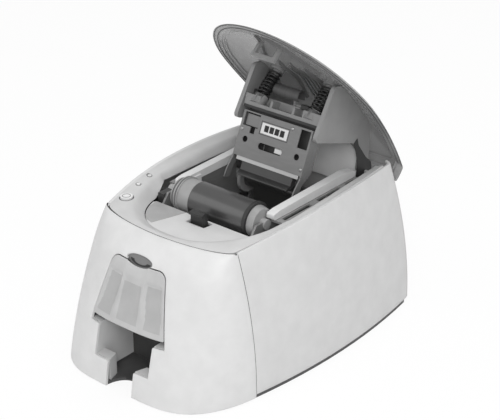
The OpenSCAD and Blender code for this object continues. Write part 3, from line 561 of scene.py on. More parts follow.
def make_material(name, dark, light, rough, mottle=70, grain=1400, bump=0.02, stretch=(1, 1, 1),
                  tint=(1, 1, 1), metallic=0.0, coat=0.0, alpha=1.0, specular=0.5, ior=1.5):
    """A surface whose shade wanders between two greys, with a fine grain in its height and gloss."""
    material = bpy.data.materials.new(name)
    material.use_nodes = True
    tree = material.node_tree
    link = tree.links.new
    shader = tree.nodes["Principled BSDF"]
    for socket, value in (("Metallic", metallic), ("Coat Weight", coat), ("Alpha", alpha),
                          ("Specular IOR Level", specular), ("IOR", ior)):
        shader.inputs[socket].default_value = value
    place = add_node(tree, "ShaderNodeTexCoord")
    mapping = add_node(tree, "ShaderNodeMapping", Scale=stretch)
    link(place.outputs["Object"], mapping.inputs["Vector"])

    def noise(scale, detail):
        node = add_node(tree, "ShaderNodeTexNoise", Scale=scale, Detail=detail)
        link(mapping.outputs["Vector"], node.inputs["Vector"])
        return node.outputs["Fac"]

    broad, fine = noise(mottle, 3), noise(grain, 2)
    shades = add_node(tree, "ShaderNodeValToRGB")
    for element, position, byte in zip(shades.color_ramp.elements, (0.3, 0.7), (dark, light)):
        element.position = position
        element.color = tinted(byte, tint)
    link(broad, shades.inputs["Fac"])
    link(shades.outputs["Color"], shader.inputs["Base Color"])
    gloss = add_node(tree, "ShaderNodeMapRange", To_Min=rough - 0.04, To_Max=rough + 0.04)
    link(fine, gloss.inputs["Value"])
    link(gloss.outputs["Result"], shader.inputs["Roughness"])
    height = add_node(tree, "ShaderNodeBump", Strength=bump, Distance=0.0004)
    link(fine, height.inputs["Height"])
    link(height.outputs["Normal"], shader.inputs["Normal"])
    return material


FRONT = make_material("front_shell", 211, 217, 0.42, bump=0.04)
SIDE = make_material("side_shell", 205, 211, 0.45, bump=0.04)
BEZEL = make_material("bezel_shell", 196, 202, 0.45, bump=0.05)
DECK = make_material("deck_plastic", 206, 212, 0.45, bump=0.04)
# A paler copy of the deck's plastic: painted light on the rails, which lie in the lid's shade
LIT_RAIL = make_material("deck_plastic_lit_rail", 222, 230, 0.45, bump=0.04)
DOOR = make_material("front_shell_door", 182, 190, 0.42, bump=0.04)
# A darker copy of the door's plastic: painted shade for the door's sunk fields
DOOR_SUNK_SHADE = make_material("front_shell_sunk_shade", 168, 176, 0.42, bump=0.04)
# A darker copy of the deck's plastic: painted shade for the deck's tilted left field
DECK_FOLD_SHADE = make_material("deck_plastic_fold_shade", 160, 172, 0.45, bump=0.04)
PALE = make_material("white_plastic", 224, 230, 0.3)
HUB = make_material("white_plastic_hub", 152, 164, 0.36)
GREY = make_material("grey_plastic", 134, 142, 0.48, bump=0.04)
# A darker grey for the finger pocket: painted shade of the recess
SHADED_POCKET = make_material("grey_plastic_shaded_pocket", 116, 124, 0.5)
CARRIER = make_material("grey_plastic_carrier", 130, 138, 0.45, bump=0.04)
RIB_GREY = make_material("lid_rib_grey", 118, 126, 0.42)
SMOKE = make_material("smoked_lid", 140, 150, 0.26, mottle=30, bump=0.01, alpha=0.82, coat=0.3)
DARK = make_material("dark_plastic", 44, 50, 0.5, bump=0.05)
PAN = make_material("dark_plastic_pan", 74, 82, 0.5, bump=0.05)
METAL_GREY = make_material("chassis_metal", 130, 138, 0.42, metallic=0.3, stretch=(1, 1, 6))
BRACKET = make_material("bracket_metal", 126, 132, 0.44, metallic=0.25, stretch=(1, 5, 5))
SINK = make_material("sink_aluminium", 186, 194, 0.36, metallic=0.8, stretch=(0.2, 4, 4))
STEEL = make_material("steel", 176, 184, 0.3, metallic=0.9, stretch=(0.15, 4, 4))
SPRING = make_material("spring_steel", 58, 66, 0.34, metallic=0.7)
MOTOR = make_material("motor_steel", 70, 78, 0.42, metallic=0.5)
BRASS = make_material("bush_brass", 180, 188, 0.34, metallic=0.9, tint=(1.0, 0.78, 0.42))
FILM = make_material("ribbon_film", 52, 58, 0.36, mottle=25, stretch=(0.3, 4, 4), bump=0.015, coat=0.5,
                     specular=0.8, ior=1.6)
ROLLER = make_material("roller_rubber", 70, 76, 0.7, bump=0.08)
FOOT = make_material("foot_rubber", 42, 48, 0.8, bump=0.1)
CLEANER = make_material("cleaning_rubber", 130, 138, 0.6, tint=(0.6, 0.8, 1.0))
CABLE = make_material("cable_white", 76, 86, 0.5, mottle=160, stretch=(6, 0.3, 0.3))
HEAD_BLACK = make_material("head_ceramic", 52, 58, 0.3, coat=0.3)
CHEEK = make_material("grey_plastic_cheek", 138, 146, 0.4)
# A paler copy of the lid frame's grey: painted light on its cross panel, which lies in the lid's shade
LIT_PANEL = make_material("grey_plastic_lit_panel", 236, 242, 0.45)
BOARD = make_material("board_green", 96, 104, 0.4, tint=(0.3, 1.0, 0.45), mottle=120)
INK = make_material("label_ink", 24, 30, 0.5)


# ---------------- outer shells
LIP = 0.7
DOOR_LOW, DOOR_TOP, DOOR_Z, DOOR_FOOT = 40.4, 28.0, 107.5, 55.8
DOOR_ROUND = 8.5
OUTLET_HALF, OUTLET_Z, LEDGE_Z = 29.7, 22.9, 49.4
THUMB_HALF = 14.2
NOTCH_HALF, NOTCH_RISE, NOTCH_Z = 13.8, 4.14, 109.6
FRONT_TOP_V = SHOULDER_Z + SHOULDER_LONG


def door_edge(z):
    """Half width of the feeder mouth at height z."""
    return DOOR_TOP + (DOOR_LOW - DOOR_TOP) * (DOOR_Z - z) / (DOOR_Z - LEDGE_Z)


def half_bay():
    """Left half of the opening in the front as (x, z), from the thumb notch up to the finger notch."""
    grown = 0.5
    z_top = DOOR_Z + grown
    corners = [(-THUMB_HALF, -20), (-THUMB_HALF, OUTLET_Z), (-OUTLET_HALF, OUTLET_Z), (-OUTLET_HALF, LEDGE_Z),
               (-door_edge(LEDGE_Z) - grown, LEDGE_Z), (-door_edge(z_top) - grown, z_top), (40, z_top)]
    radii = [0.5, 1.4, 1.2, 1.0, 0.8, DOOR_ROUND + grown, 0.5]
    loop = rounded_loop(corners, radii, 1.2)
    cut_x = NOTCH_HALF * math.sqrt(1 - ((z_top - NOTCH_Z) / NOTCH_RISE) ** 2)
    path = [p for p in loop if p[1] > FRONT_FOOT + 0.6 and p[0] < -cut_x - 0.3]
    start = min(range(len(path)), key=lambda i: path[i][1])
    path = path[start:] + path[:start]
    a0 = math.atan2((z_top - NOTCH_Z) / NOTCH_RISE, -cut_x / NOTCH_HALF)
    arc = [(NOTCH_HALF * math.cos(a), NOTCH_Z + NOTCH_RISE * math.sin(a))
           for a in np.linspace(a0 + 2 * math.pi, math.pi / 2, 16)]
    return [(-THUMB_HALF, FRONT_FOOT)] + [tuple(p) for p in path] + arc


def make_front():
    half = half_bay()
    bay = [front_uv(x, z) for x, z in half]
    bay += [(-u, v) for u, v in reversed(bay[:-1])]
    low = [(u, FRONT_FOOT) for u in np.arange(-FRONT_U, bay[0][0] - 1.5, 3)]
    right = [(u, FRONT_FOOT) for u in np.arange(bay[-1][0] + 3, FRONT_U, 3)]
    climb = [(FRONT_U, v) for v in np.linspace(FRONT_FOOT, FRONT_TOP_V, 45)]
    top = [(u, FRONT_TOP_V) for u in np.linspace(FRONT_U, -FRONT_U, 88)[1:]]
    down = [(-FRONT_U, v) for v in np.linspace(FRONT_TOP_V, FRONT_FOOT, 45)[1:-1]]
    loop = np.array(low + bay + right + climb + top + down)
    piece = shell(front_at, [loop], WALL, LIP, 3.6)
    add_joined("front_panel_fine", [piece], FRONT, "chassis", "front_shell", ["front_panel"])


def make_sides():
    whole = SIDE_LONG + CORNER_LONG
    loop = dense([(0, 0), (whole, 0), (whole, SIDE_HIGH), (0, SIDE_HIGH)], 3.5)
    for name, s in (("left", -1), ("right", 1)):
        piece = shell(lambda u, v, s=s: side_at(s, u, v), [loop], WALL, LIP, 4.5, flip=s < 0)
        add_joined(f"side_panel_{name}_fine", [piece], SIDE, "chassis", "side_shell",
                   [f"side_panel_{name}"])


INLET_X, PORT_Z, USB_X = -66.0, 22.0, -30.0
INLET_R, USB_HALF, USB_HALF_HIGH = 6.3, 6.8, 6.2
VENTS, VENT_X, VENT_STEP, VENT_WIDE, VENT_LOW, VENT_TOP = 10, 20, 5, 2, 40, 70


def make_rear():
    def at(u, v):
        return -u, back_y(v), v

    def hole(loop):
        return np.array([(-x, z) for x, z in loop])

    border = [(-rear_half(z), z) for z in np.linspace(REAR_TOP, SKIRT_Z, 30)]
    border += [(x, SKIRT_Z) for x in np.linspace(-rear_half(SKIRT_Z), rear_half(SKIRT_Z), 40)[1:]]
    border += [(rear_half(z), z) for z in np.linspace(SKIRT_Z, REAR_TOP, 30)[1:]]
    border += [(x, REAR_TOP) for x in np.linspace(rear_half(REAR_TOP), -rear_half(REAR_TOP), 40)[1:-1]]

    def slot(x0, x1, z0, z1, r):
        return hole(rounded_loop([(x0, z0), (x1, z0), (x1, z1), (x0, z1)], r))

    holes = [hole([(INLET_X + INLET_R * math.cos(a), PORT_Z + INLET_R * math.sin(a)) for a in full_turn(32)])]
    holes.append(slot(USB_X - USB_HALF, USB_X + USB_HALF,
                      PORT_Z - USB_HALF_HIGH, PORT_Z + USB_HALF_HIGH, 0.9))
    for x in range(VENT_X, VENT_X + VENTS * VENT_STEP, VENT_STEP):
        holes.append(slot(x, x + VENT_WIDE, VENT_LOW, VENT_TOP, 0.95))
    piece = shell(at, [np.array(border)] + holes, WALL, 0.45, 4.5)
    add_joined("rear_panel_fine", [piece], SIDE, "chassis", "side_shell", ["rear_panel"])


BUTTON_AT, BUTTON_R = (-63.0, -71.0), 5.4
LIGHTS_AT = ((-71.0, -48.0), (-74.2, -31.0))
LIGHT_R = 1.8
BUTTON_TOP, DISH_R, DISH_RIM = 127.9, 3.45, 0.3
BUTTON_HOLE, LIGHT_HOLE = BUTTON_R + 0.4, LIGHT_R + 0.15
# Points (u, v, x, y) of the bezel from which bezel_uv starts its search
BEZEL_NET = [(u, v, *bezel_at(u, v)[:2]) for u in range(-350, 351, 14) for v in range(3, 48, 5)]


def bezel_uv(x, y):
    """(u, v) of the bezel's point that lies over (x, y)."""
    u, v = min(BEZEL_NET, key=lambda g: math.hypot(g[2] - x, g[3] - y))[:2]
    for _ in range(12):
        p = np.array(bezel_at(u, v)[:2])
        du = (np.array(bezel_at(u + 0.3, v)[:2]) - p) / 0.3
        dv = (np.array(bezel_at(u, v + 0.3)[:2]) - p) / 0.3
        step = np.linalg.lstsq(np.stack((du, dv), 1), np.array((x, y)) - p, rcond=None)[0]
        u, v = u + step[0] * 0.8, v + step[1] * 0.8
    return u, v


def bezel_ring(x, y, r, n):
    """A round hole in the bezel, seen from above, as a loop with the material on its left."""
    loop = np.array([bezel_uv(x + r * math.cos(a), y + r * math.sin(a))
                     for a in -full_turn(n)])
    area = np.sum(loop[:, 0] * np.roll(loop[:, 1], -1) - np.roll(loop[:, 0], -1) * loop[:, 1])
    return loop if area < 0 else loop[::-1]


def ring_on_bezel(x, y, r, wide, high, n=28):
    """A flat ring lying on the bezel round (x, y), as points and faces."""
    verts = []
    for radius, rise in ((r, -0.3), (r, high), (r + wide, high), (r + wide, -0.3)):
        for a in full_turn(n):
            u, v = bezel_uv(x + radius * math.cos(a), y + radius * math.sin(a))
            verts.append(np.array(bezel_at(u, v)) + surface_normal(bezel_at, u, v) * rise)
    return verts, ring_faces(4, n)


def make_rims():
    """Thin dark rims round the button and the two lights, and the ring round the button's dish."""
    parts = [ring_on_bezel(*BUTTON_AT, BUTTON_HOLE, 0.5, 0.08)]
    parts += [ring_on_bezel(*p, LIGHT_HOLE, 0.55, 0.08, 16) for p in LIGHTS_AT]
    add_joined("control_rims", parts, PAN, "chassis", "dark_plastic")
    x, y = BUTTON_AT
    rows, columns, verts = 8, 40, []
    for b in full_turn(rows):
        r = DISH_R + DISH_RIM * math.cos(b)
        verts += [(x + r * math.cos(a), y + r * math.sin(a), BUTTON_TOP + DISH_RIM * math.sin(b))
                  for a in full_turn(columns)]
    add_piece("button_ring", verts, flipped(ring_faces(rows, columns)), GREY, "button", "grey_plastic")


def make_bezel():
    u = 2 * BEZEL_U
    border = dense([(-u, 0), (u, 0), (u, BEZEL_V), (-u, BEZEL_V)], 3.0)
    holes = [bezel_ring(*BUTTON_AT, BUTTON_HOLE, 28)]
    holes += [bezel_ring(*p, LIGHT_HOLE, 16) for p in LIGHTS_AT]
    piece = shell(bezel_at, [border] + holes, 1.8, 0.35, 3.4)
    add_joined("top_bezel_fine", [piece], BEZEL, "chassis", "bezel_shell", ["top_bezel"])


def tube_along(points, r, n=8):
    """A round tube of radius r along points, closed at both ends, as points and faces."""
    p = np.asarray(points, float)
    along = np.gradient(p, axis=0)
    along /= np.linalg.norm(along, axis=1)[:, None]
    verts = []
    for q, t in zip(p, along):
        a = np.cross(t, (0.577, 0.577, 0.577))
        a /= np.linalg.norm(a)
        b = np.cross(t, a)
        verts += [q + r * (math.cos(w) * a + math.sin(w) * b) for w in full_turn(n)]
    faces = grid_faces(len(p), n, wrap=True)
    return verts, faces + end_faces(len(verts), n)


def make_seam_shade():
    """Dark tubes of painted shade that fill the seams between the front, the side panels and the bezel."""
    parts = []
    for s in (-1, 1):
        seam = []
        for z in np.linspace(SKIRT_Z + 1, SEAM_Z - 1.6, 40):
            y = seam_y(z) + PANEL_GAP / 2
            seam.append((s * (side_x(y, z) - SEAM_SHADE_R - 0.05), y, z))
        parts.append(tube_along(seam, SEAM_SHADE_R))
    rim = []
    for u in np.linspace(-FRONT_U + 5, FRONT_U - 5, 120):
        x, y, z = front_at(u, FRONT_TOP_V)
        inward = np.array((-x, -40 - y)) / math.hypot(x, 40 + y)
        rim.append((x + inward[0] * 0.3, y + inward[1] * 0.3, SEAM_Z - SEAM_SHADE_R + 0.02))
    parts.append(tube_along(rim, SEAM_SHADE_R))
    add_joined("seam_shade_lines", parts, DARK, "chassis", "dark_plastic")


# ---------------- feeder door
def smooth(a, b, t):
    t = min(1.0, max(0.0, (t - a) / (b - a)))
    return t * t * (3 - 2 * t)


def ridge_at(z):
    """Middle and half width of the door's ridges at height z."""
    low = smooth(92, 60, z)
    return 11.6 + 3.0 * low, 0.9 + 1.5 * low


def door_relief(x, z):
    """How far the door's face stands out (+) or in (-) from the front's surface.

    Two ridges run down the leaf, wider towards its foot; the fields beside and between them are sunk.
    """
    w = abs(x)
    ridge, half = ridge_at(z)
    deep = smooth(58.5, 74, z)
    outer = smooth(ridge + half, ridge + half + 1.6, w) * smooth(door_edge(z) - 1.6, door_edge(z) - 4.2, w)
    outer *= smooth(97.5, 94.5, z)
    inner = smooth(ridge - half, ridge - half - 3.4, w) * smooth(99, 88, z)
    rise = 0.35 * smooth(ridge + half + 0.8, ridge, w) * smooth(ridge - half - 1.4, ridge, w)
    scoop = max(0.0, 1 - (x / 12.8) ** 2 - (max(0.0, 108.0 - z) / 11.5) ** 2) ** 1.2
    return (rise - 1.9 * outer - 1.6 * inner) * deep - 1.9 * scoop


def door_at(x, z):
    u, v = front_uv(x, z)
    p = np.array(front_at(u, v))
    return p + surface_normal(front_at, u, v) * door_relief(x, z)


def make_door():
    gap = 0.2
    top_z = DOOR_Z - gap
    low_x, high_x = door_edge(DOOR_FOOT) - gap, door_edge(top_z) - gap
    corners = [(-low_x, DOOR_FOOT), (low_x, DOOR_FOOT), (high_x, top_z), (-high_x, top_z)]
    loop = rounded_loop(corners, [0.8, 0.8, DOOR_ROUND, DOOR_ROUND], 1.4)
    cut = NOTCH_HALF * math.sqrt(1 - ((top_z - NOTCH_Z) / NOTCH_RISE) ** 2)
    start = next(i for i in range(len(loop)) if loop[i][1] > top_z - 0.01 and abs(loop[i][0]) < cut)
    loop = np.roll(loop, -start, 0)
    kept = [p for p in loop if not (p[1] > top_z - 0.01 and abs(p[0]) < cut + 0.4)]
    a0 = math.asin((top_z - NOTCH_Z) / NOTCH_RISE)
    arc = [(NOTCH_HALF * math.cos(a), NOTCH_Z + NOTCH_RISE * math.sin(a))
           for a in np.linspace(a0, -math.pi - a0, 24)]
    piece = shell(door_at, [np.array(kept + arc)], 1.6, 0.5, 1.25)
    add_joined("feeder_door_fine", [piece], DOOR, "door", "front_shell", ["feeder_door"])


def make_door_sunk_shade():
    """Painted shade on the door's sunk fields: darker sheets over the one between its two ridges and the one
    beside each.
    """
    def field_at(x, z):
        u, v = front_uv(x, z)
        return np.array(front_at(u, v)) + surface_normal(front_at, u, v) * (door_relief(x, z) + 0.06)

    parts = []
    for s in (-1, 0, 1):
        low, high = (60.5, 94.0) if s else (60.5, 92.0)
        left, right = [], []
        for z in np.linspace(low, high, 16):
            ridge, half = ridge_at(z)
            inner, outer = (ridge + half + 1.3, door_edge(z) - 3.6) if s else (ridge - half - 1.3,) * 2
            left.append((s * outer if s < 0 else inner if s else -inner, z))
            right.append((s * inner if s < 0 else outer if s else inner, z))
        loop = dense(right + left[::-1], 1.5)
        parts.append(shell(field_at, [loop], 0.4, 0.04, 2.2))
    add_joined("door_sunk_shade", parts, DOOR_SUNK_SHADE, "door", "front_shell")


def make_finger_pocket():
    """Slanted recess behind the finger notch, from whose foot the top of the door is pinched. Its grey is
    darkened as painted shade, and the lower half of its floor is dark painted shade.
    """
    n, verts = 48, []
    rings = [(1.02, 0.5), (1.0, 1.6), (0.94, 2.3), (0.8, 2.7), (0.5, 2.9), (0.05, 3.0)]
    for share, deep in rings:
        for j in range(n):
            a = 2 * math.pi * j / n
            x, z = NOTCH_HALF * share * math.cos(a), NOTCH_Z + NOTCH_RISE * share * math.sin(a)
            u, v = front_uv(x, z)
            behind_door = 2.8 * smooth(0.2, -0.1, math.sin(a))
            slope = 1.2 * max(0.0, -math.sin(a)) * share
            normal = surface_normal(front_at, u, v)
            verts.append(np.array(front_at(u, v)) - normal * (max(deep, behind_door) + slope))
    faces = grid_faces(len(rings), n, wrap=True)
    faces.append(tuple(range(n * (len(rings) - 1), n * len(rings))))
    outside = [tuple(np.array(v) + np.array((0, 0.7, -0.5))) for v in verts]
    back = flipped([[i + len(verts) for i in f] for f in faces])
    rim = [(j, (j + 1) % n, len(verts) + (j + 1) % n, len(verts) + j) for j in range(n)]
    piece = add_piece("finger_pocket", verts + outside, faces + back + flipped(rim), SHADED_POCKET, "chassis",
                      "grey_plastic")
    # Painted shade: the lower half of the pocket's floor band is dark, where it runs in behind the door
    piece.data.materials.append(DARK)
    for k in range(3 * n, 4 * n):
        if 0.47 < (k % n) / n < 1.0:
            piece.data.polygons[k].material_index = 1


# ---------------- lid
LID_COLUMNS = 156
LID_OUT = (0.0, 0.06, 0.14, 0.24, 0.36, 0.48, 0.59, 0.68, 0.76, 0.83, 0.88, 0.92, 0.95, 0.972, 0.988,
           0.997, 1.0)
LEDGES = (0.974, 0.942, 0.9)
LEDGE_HIGH = 1.0
CROWN_FADE = 0.32
LID_SMOOTH_BELOW = math.radians(28)


def lid_spot(a, f, inset, drop):
    """Point of the shut lid's skin; near the crown the rim's rise fades out so the skin stays smooth."""
    x, y, z = lid_point(a, max(f, 1e-6), inset)
    w = smooth(0.0, CROWN_FADE, f)
    level = lid_rim(lid_outline(abs(a))[1])
    return x, y, z + (1 - w) * (lid_rim(LID_MID_Y) - level) - min(drop, dome_up(f))


def make_lid():
    angles = [-180 + 360 * (j + 0.5) / LID_COLUMNS for j in range(LID_COLUMNS)]
    inner = [(1.0, LID_WALL - 0.5, 0.0), (0.996, LID_WALL, 0.0)]
    for f in LEDGES:
        inner += [(f + 0.008, LID_WALL, LID_WALL), (f + 0.005, LID_WALL + LEDGE_HIGH, LID_WALL + 0.5),
                  (f - 0.004, LID_WALL + LEDGE_HIGH, LID_WALL + 0.5), (f - 0.007, LID_WALL, LID_WALL)]
    inner += [(f, LID_WALL, LID_WALL) for f in reversed(LID_OUT) if f < LEDGES[-1] - 0.015]
    skin = [(f, 0.0, 0.0) for f in LID_OUT]
    verts = [lid_spot(a, f, inset, drop) for f, inset, drop in skin + inner for a in angles]
    rows = len(skin) + len(inner)
    faces = flipped(grid_faces(rows, LID_COLUMNS, wrap=True))
    add_piece("lid_shell_fine", raise_lid(verts), faces, SMOKE, "lid", "smoked_lid", ["lid_shell"],
              LID_SMOOTH_BELOW)


def lid_inside(x, y, low=LID_WALL):
    """Height of the inner skin of the shut lid over (x, y)."""
    outline = [lid_outline(a) for a in range(0, 181, 2)]
    turns = [math.atan2(p[0], p[1] - LID_MID_Y) for p in outline]
    angle = math.atan2(abs(x), y - LID_MID_Y)
    k = min(range(len(turns) - 1), key=lambda i: abs(turns[i] - angle))
    far = math.hypot(outline[k][0], outline[k][1] - LID_MID_Y)
    f = min(0.999, math.hypot(x, y - LID_MID_Y) / (far - LID_WALL))
    w = smooth(0.0, CROWN_FADE, f)
    level = lid_rim(outline[k][1]) * w + lid_rim(LID_MID_Y) * (1 - w)
    return level + dome_up(f) - low


def strip(points, wide, top_at, deep):
    """A ridge along points (x, y) hanging deep below the height top_at(x, y)."""
    p = np.asarray(points, float)
    along = np.gradient(p, axis=0)
    along /= np.linalg.norm(along, axis=1)[:, None]
    side = np.stack((along[:, 1], -along[:, 0]), 1) * wide / 2
    verts = []
    for q, s in zip(p, side):
        top = top_at(*q)
        for k, z in ((-1, top + 0.3), (1, top + 0.3), (0.6, top - deep), (-0.6, top - deep)):
            verts.append((q[0] + k * s[0], q[1] + k * s[1], z))
    faces = grid_faces(len(p), 4, wrap=True)
    return verts, faces + flipped(end_faces(len(verts), 4))


def make_ribs():
    """Fan of ridges inside the lid: two main legs from the nose and thin ridges beside each of them."""
    parts = []
    for s in (-1, 1):
        line = [(s * (3.2 + 0.421 * (y + 80)), y) for y in np.linspace(-80, -18, 14)]
        parts.append(strip(line, 1.9, lid_inside, 2.6))
        line = [(s * (14 + 0.06 * (y + 22)), y) for y in np.linspace(-22, 46, 18)]
        parts.append(strip(line, 1.9, lid_inside, 2.6))
    for k in range(-2, 3):
        line = [(4.6 * k, y) for y in np.linspace(-26 + 9 * abs(k), 42, 18)]
        parts.append(strip(line, 1.0, lid_inside, 1.1))
    add_joined("lid_ribs_fine", parts, RIB_GREY, "lid", "lid_rib_grey", ["lid_rib"], place=raise_lid)


SPRING_LOW, SPRING_HIGH, HEAD_TRAVEL = 112.4, 139.0, 2.5
SPRING_X, SPRING_Y = 29.0, 2.0
SPRING_TURNS, COIL_R, WIRE_R = 7.5, 5.4, 0.85
FLAT_END = 0.08


def make_springs():
    """Two coil springs between the lid and the head."""
    coil, wire, low, high = COIL_R, WIRE_R, SPRING_LOW + 0.1, SPRING_HIGH - 0.2
    n, around = 260, 10
    parts = []
    for s in (-1, 1):
        verts = []
        for i in range(n):
            t = i / (n - 1)
            a = 2 * math.pi * SPRING_TURNS * t
            flat = smooth(0, FLAT_END, t) * smooth(1, 1 - FLAT_END, t)
            climb = t if FLAT_END < t < 1 - FLAT_END else t * flat + (1 - flat) * round(t)
            z = low + wire + (high - low - 2 * wire) * climb
            out = np.array((math.cos(a), math.sin(a), 0))
            for j in range(around):
                b = 2 * math.pi * j / around
                verts.append(np.array((s * SPRING_X, SPRING_Y, z)) + out * (coil + wire * math.cos(b))
                             + np.array((0, 0, wire * math.sin(b))))
        faces = grid_faces(n, around, wrap=True)
        faces += flipped(end_faces(len(verts), around))
        parts.append((verts, faces))
    verts, faces = join_parts(parts)
    piece = add_piece("head_springs_fine", raise_lid(verts), flipped(faces), SPRING,
                      "lid", "spring_steel", ["head_springs"])
    top, below = raise_lid([(0, SPRING_Y, SPRING_HIGH), (0, SPRING_Y, SPRING_HIGH - 10)])
    Vector(top) * MM
    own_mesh(piece)


def plate(outline, at, thick):
    """A thin plate. outline is its points (a, b) in order; at(a, b, t) is the point t deep in it."""
    n = len(outline)
    verts = [at(a, b, t * thick) for t in (0, 1) for a, b in outline]
    sides = [(j, (j + 1) % n, n + (j + 1) % n, n + j) for j in range(n)]
    return verts, end_faces(2 * n, n) + sides


# Corners (x, y) of the deck's painted shade field and (y, z) of the arms' painted shade plates, the plates'
# with the lid shut
DECK_SHADE_FIELD = ((-26.5, -80), (-20.5, -44.2), (-54.5, -44.2), (-51.5, -55), (-47, -64), (-40.5, -72.5),
              (-34, -77.5))
ARM_SHADE_PLATE = ((53.5, 122.5), (60, 119.6), (79, 118.6), (90, 120), (97, 116), (98, 95.2), (114.5, 83.5),
             (109.5, 74.5), (102.5, 77.5), (89, 92.5), (82, 97.5), (77, 103.5), (72, 108), (62, 113),
             (52.5, 116.3))
PLATE_THICK = 0.4


def make_deck_fold_shade():
    """Painted shade on the latch deck's left field past its fold: a darker copy of the deck's plastic laid
    over it.
    """
    piece = plate(DECK_SHADE_FIELD, lambda x, y, t: (x, y, deck_height(y) - 0.1 + t), PLATE_THICK)
    add_joined("deck_fold_shade", [piece], DECK_FOLD_SHADE, "chassis", "deck_plastic")


CHEEK_OUT = 45.03


def make_arm_shade_plates():
    """Dark plates of painted shade on the outsides of the lid frame's hinge arms."""
    parts = [plate(ARM_SHADE_PLATE, lambda y, z, t, s=s: (s * (CHEEK_OUT + t), y, z), PLATE_THICK)
             for s in (-1, 1)]
    add_joined("arm_shade_plates", parts, DARK, "lid", "dark_plastic", place=raise_lid)


def make_lid_shade_lines():
    """Two dark cords of painted shade: one along the lid's rim and one along its outermost ledge."""
    parts = []
    for f, inset, drop in ((1.0, LID_WALL / 2, -0.1), (LEDGES[0], LID_WALL + 0.2, LID_WALL + 0.2)):
        line = [lid_spot(a, f, inset, drop) for a in np.linspace(-150, 150, 120)]
        parts.append(tube_along(line, 0.5, 6))
    add_joined("lid_shade_lines", parts, PAN, "lid", "dark_plastic", place=raise_lid)


# ---------------- small parts on the head
HEAD_Y, HEAD_Z, HEAD_LEAN = 36.5, 136.6, math.radians(24.15)


def on_head(points):
    """Turns points drawn on the head's upright plate (z up it, y into it) to where it stands at rest."""
    c, k = math.cos(HEAD_LEAN), math.sin(HEAD_LEAN)
    return [(x, HEAD_Y + y * c + z * k, HEAD_Z - y * k + z * c) for x, y, z in points]


def block(x0, x1, y0, y1, z0, z1, round_by=0.25):
    """A box with chamfered edges, as points and faces."""
    verts, faces = [], []
    levels = [(z0, round_by), (z0 + round_by, 0), (z1 - round_by, 0), (z1, round_by)]
    for z, t in levels:
        r = round_by
        ring = [(x0 + t + r, y0 + t), (x1 - t - r, y0 + t), (x1 - t, y0 + t + r), (x1 - t, y1 - t - r),
                (x1 - t - r, y1 - t), (x0 + t + r, y1 - t), (x0 + t, y1 - t - r), (x0 + t, y0 + t + r)]
        verts += [(x, y, z) for x, y in ring]
    faces = grid_faces(4, 8, wrap=True)
    return verts, faces + end_faces(len(verts), 8)


def dome(x, z, r, high, n=20, rings=5):
    """A low round head standing off the plate towards -Y, as points and faces."""
    verts = []
    for k in range(rings + 1):
        t = math.pi / 2 * k / rings
        for j in range(n):
            a = 2 * math.pi * j / n
            verts.append((x + r * math.cos(t) * math.cos(a), -high * math.sin(t),
                          z + r * math.cos(t) * math.sin(a)))
    faces = grid_faces(rings + 1, n, wrap=True)
    return verts, faces + [tuple(reversed(range(n)))]


LABEL_X, LABEL_Z = (-15.0, 13.4), (24.7, 34.0)
MARKS, MARK_STEP, MARK_WIDE = 4, 5.7, 4.5
BORDER_OUT, BORDER_WIDE = 0.8, 0.4
SCREWS_AT = ((-35.2, 23.5), (16.6, 36.6), (35.3, 5.5))
CONNECTORS = ((-40.4, -36.2, 54.5), (11.8, 19.8, 53.6))
SHADOW_STRIP_HALF, SHADOW_STRIP_Z = 39.6, (42.6, 45.0)
WINDOW_X, WINDOW_Z = (-34.2, -20.5), (27.6, 37.6)


def make_head_details():
    """The label's marks and the painted shade round its edge, the screws, the connectors behind the plate's
    head, a dark strip of painted shade under the carrier's beam and the plate behind the window."""
    (x0, x1), (z0, z1) = LABEL_X, LABEL_Z
    marks = []
    for k in range(MARKS):
        x = x0 + 3.4 + MARK_STEP * k
        marks.append(block(x, x + MARK_WIDE, -0.5, -0.2, z0 + 2.0, z1 - 1.8, 0.1))
    add_joined("label_marks", marks, INK, "head", "dark_plastic", place=on_head)
    screws = [dome(x, z, 1.5, 0.9) for x, z in SCREWS_AT]
    add_joined("head_screws", screws, STEEL, "head", "steel", place=on_head)
    joins = [block(a, b, 9, 16, z, z + 4.6, 0.6) for a, b, z in CONNECTORS]
    add_joined("head_connectors", joins, DARK, "head", "dark_plastic", place=on_head)
    # Painted shade: a thin dark frame just outside the label, for the shade along its edge
    x0, x1, z0, z1 = x0 - BORDER_OUT, x1 + BORDER_OUT, z0 - BORDER_OUT, z1 + BORDER_OUT
    wide = BORDER_WIDE
    lines = [(x0 - wide, x1 + wide, z0 - wide, z0), (x0 - wide, x1 + wide, z1, z1 + wide),
             (x0 - wide, x0, z0, z1), (x1, x1 + wide, z0, z1)]
    border = [block(a, b, -0.12, 0.05, c, d, 0.04) for a, b, c, d in lines]
    add_joined("label_shade_border", border, INK, "head", "dark_plastic", place=on_head)
    # Painted shade: a dark strip for the shadowed gap between the plate's top and the carrier's beam
    shadow_strip = block(-SHADOW_STRIP_HALF, SHADOW_STRIP_HALF, -0.4, 0.1, *SHADOW_STRIP_Z, 0.08)
    add_joined("head_shadow_strip", [shadow_strip], DARK, "head", "dark_plastic", place=on_head)
    window = block(*WINDOW_X, 2.2, 3.0, *WINDOW_Z, 0.1)
    add_joined("window_plate", [window], BRACKET, "head", "bracket_metal", place=on_head)


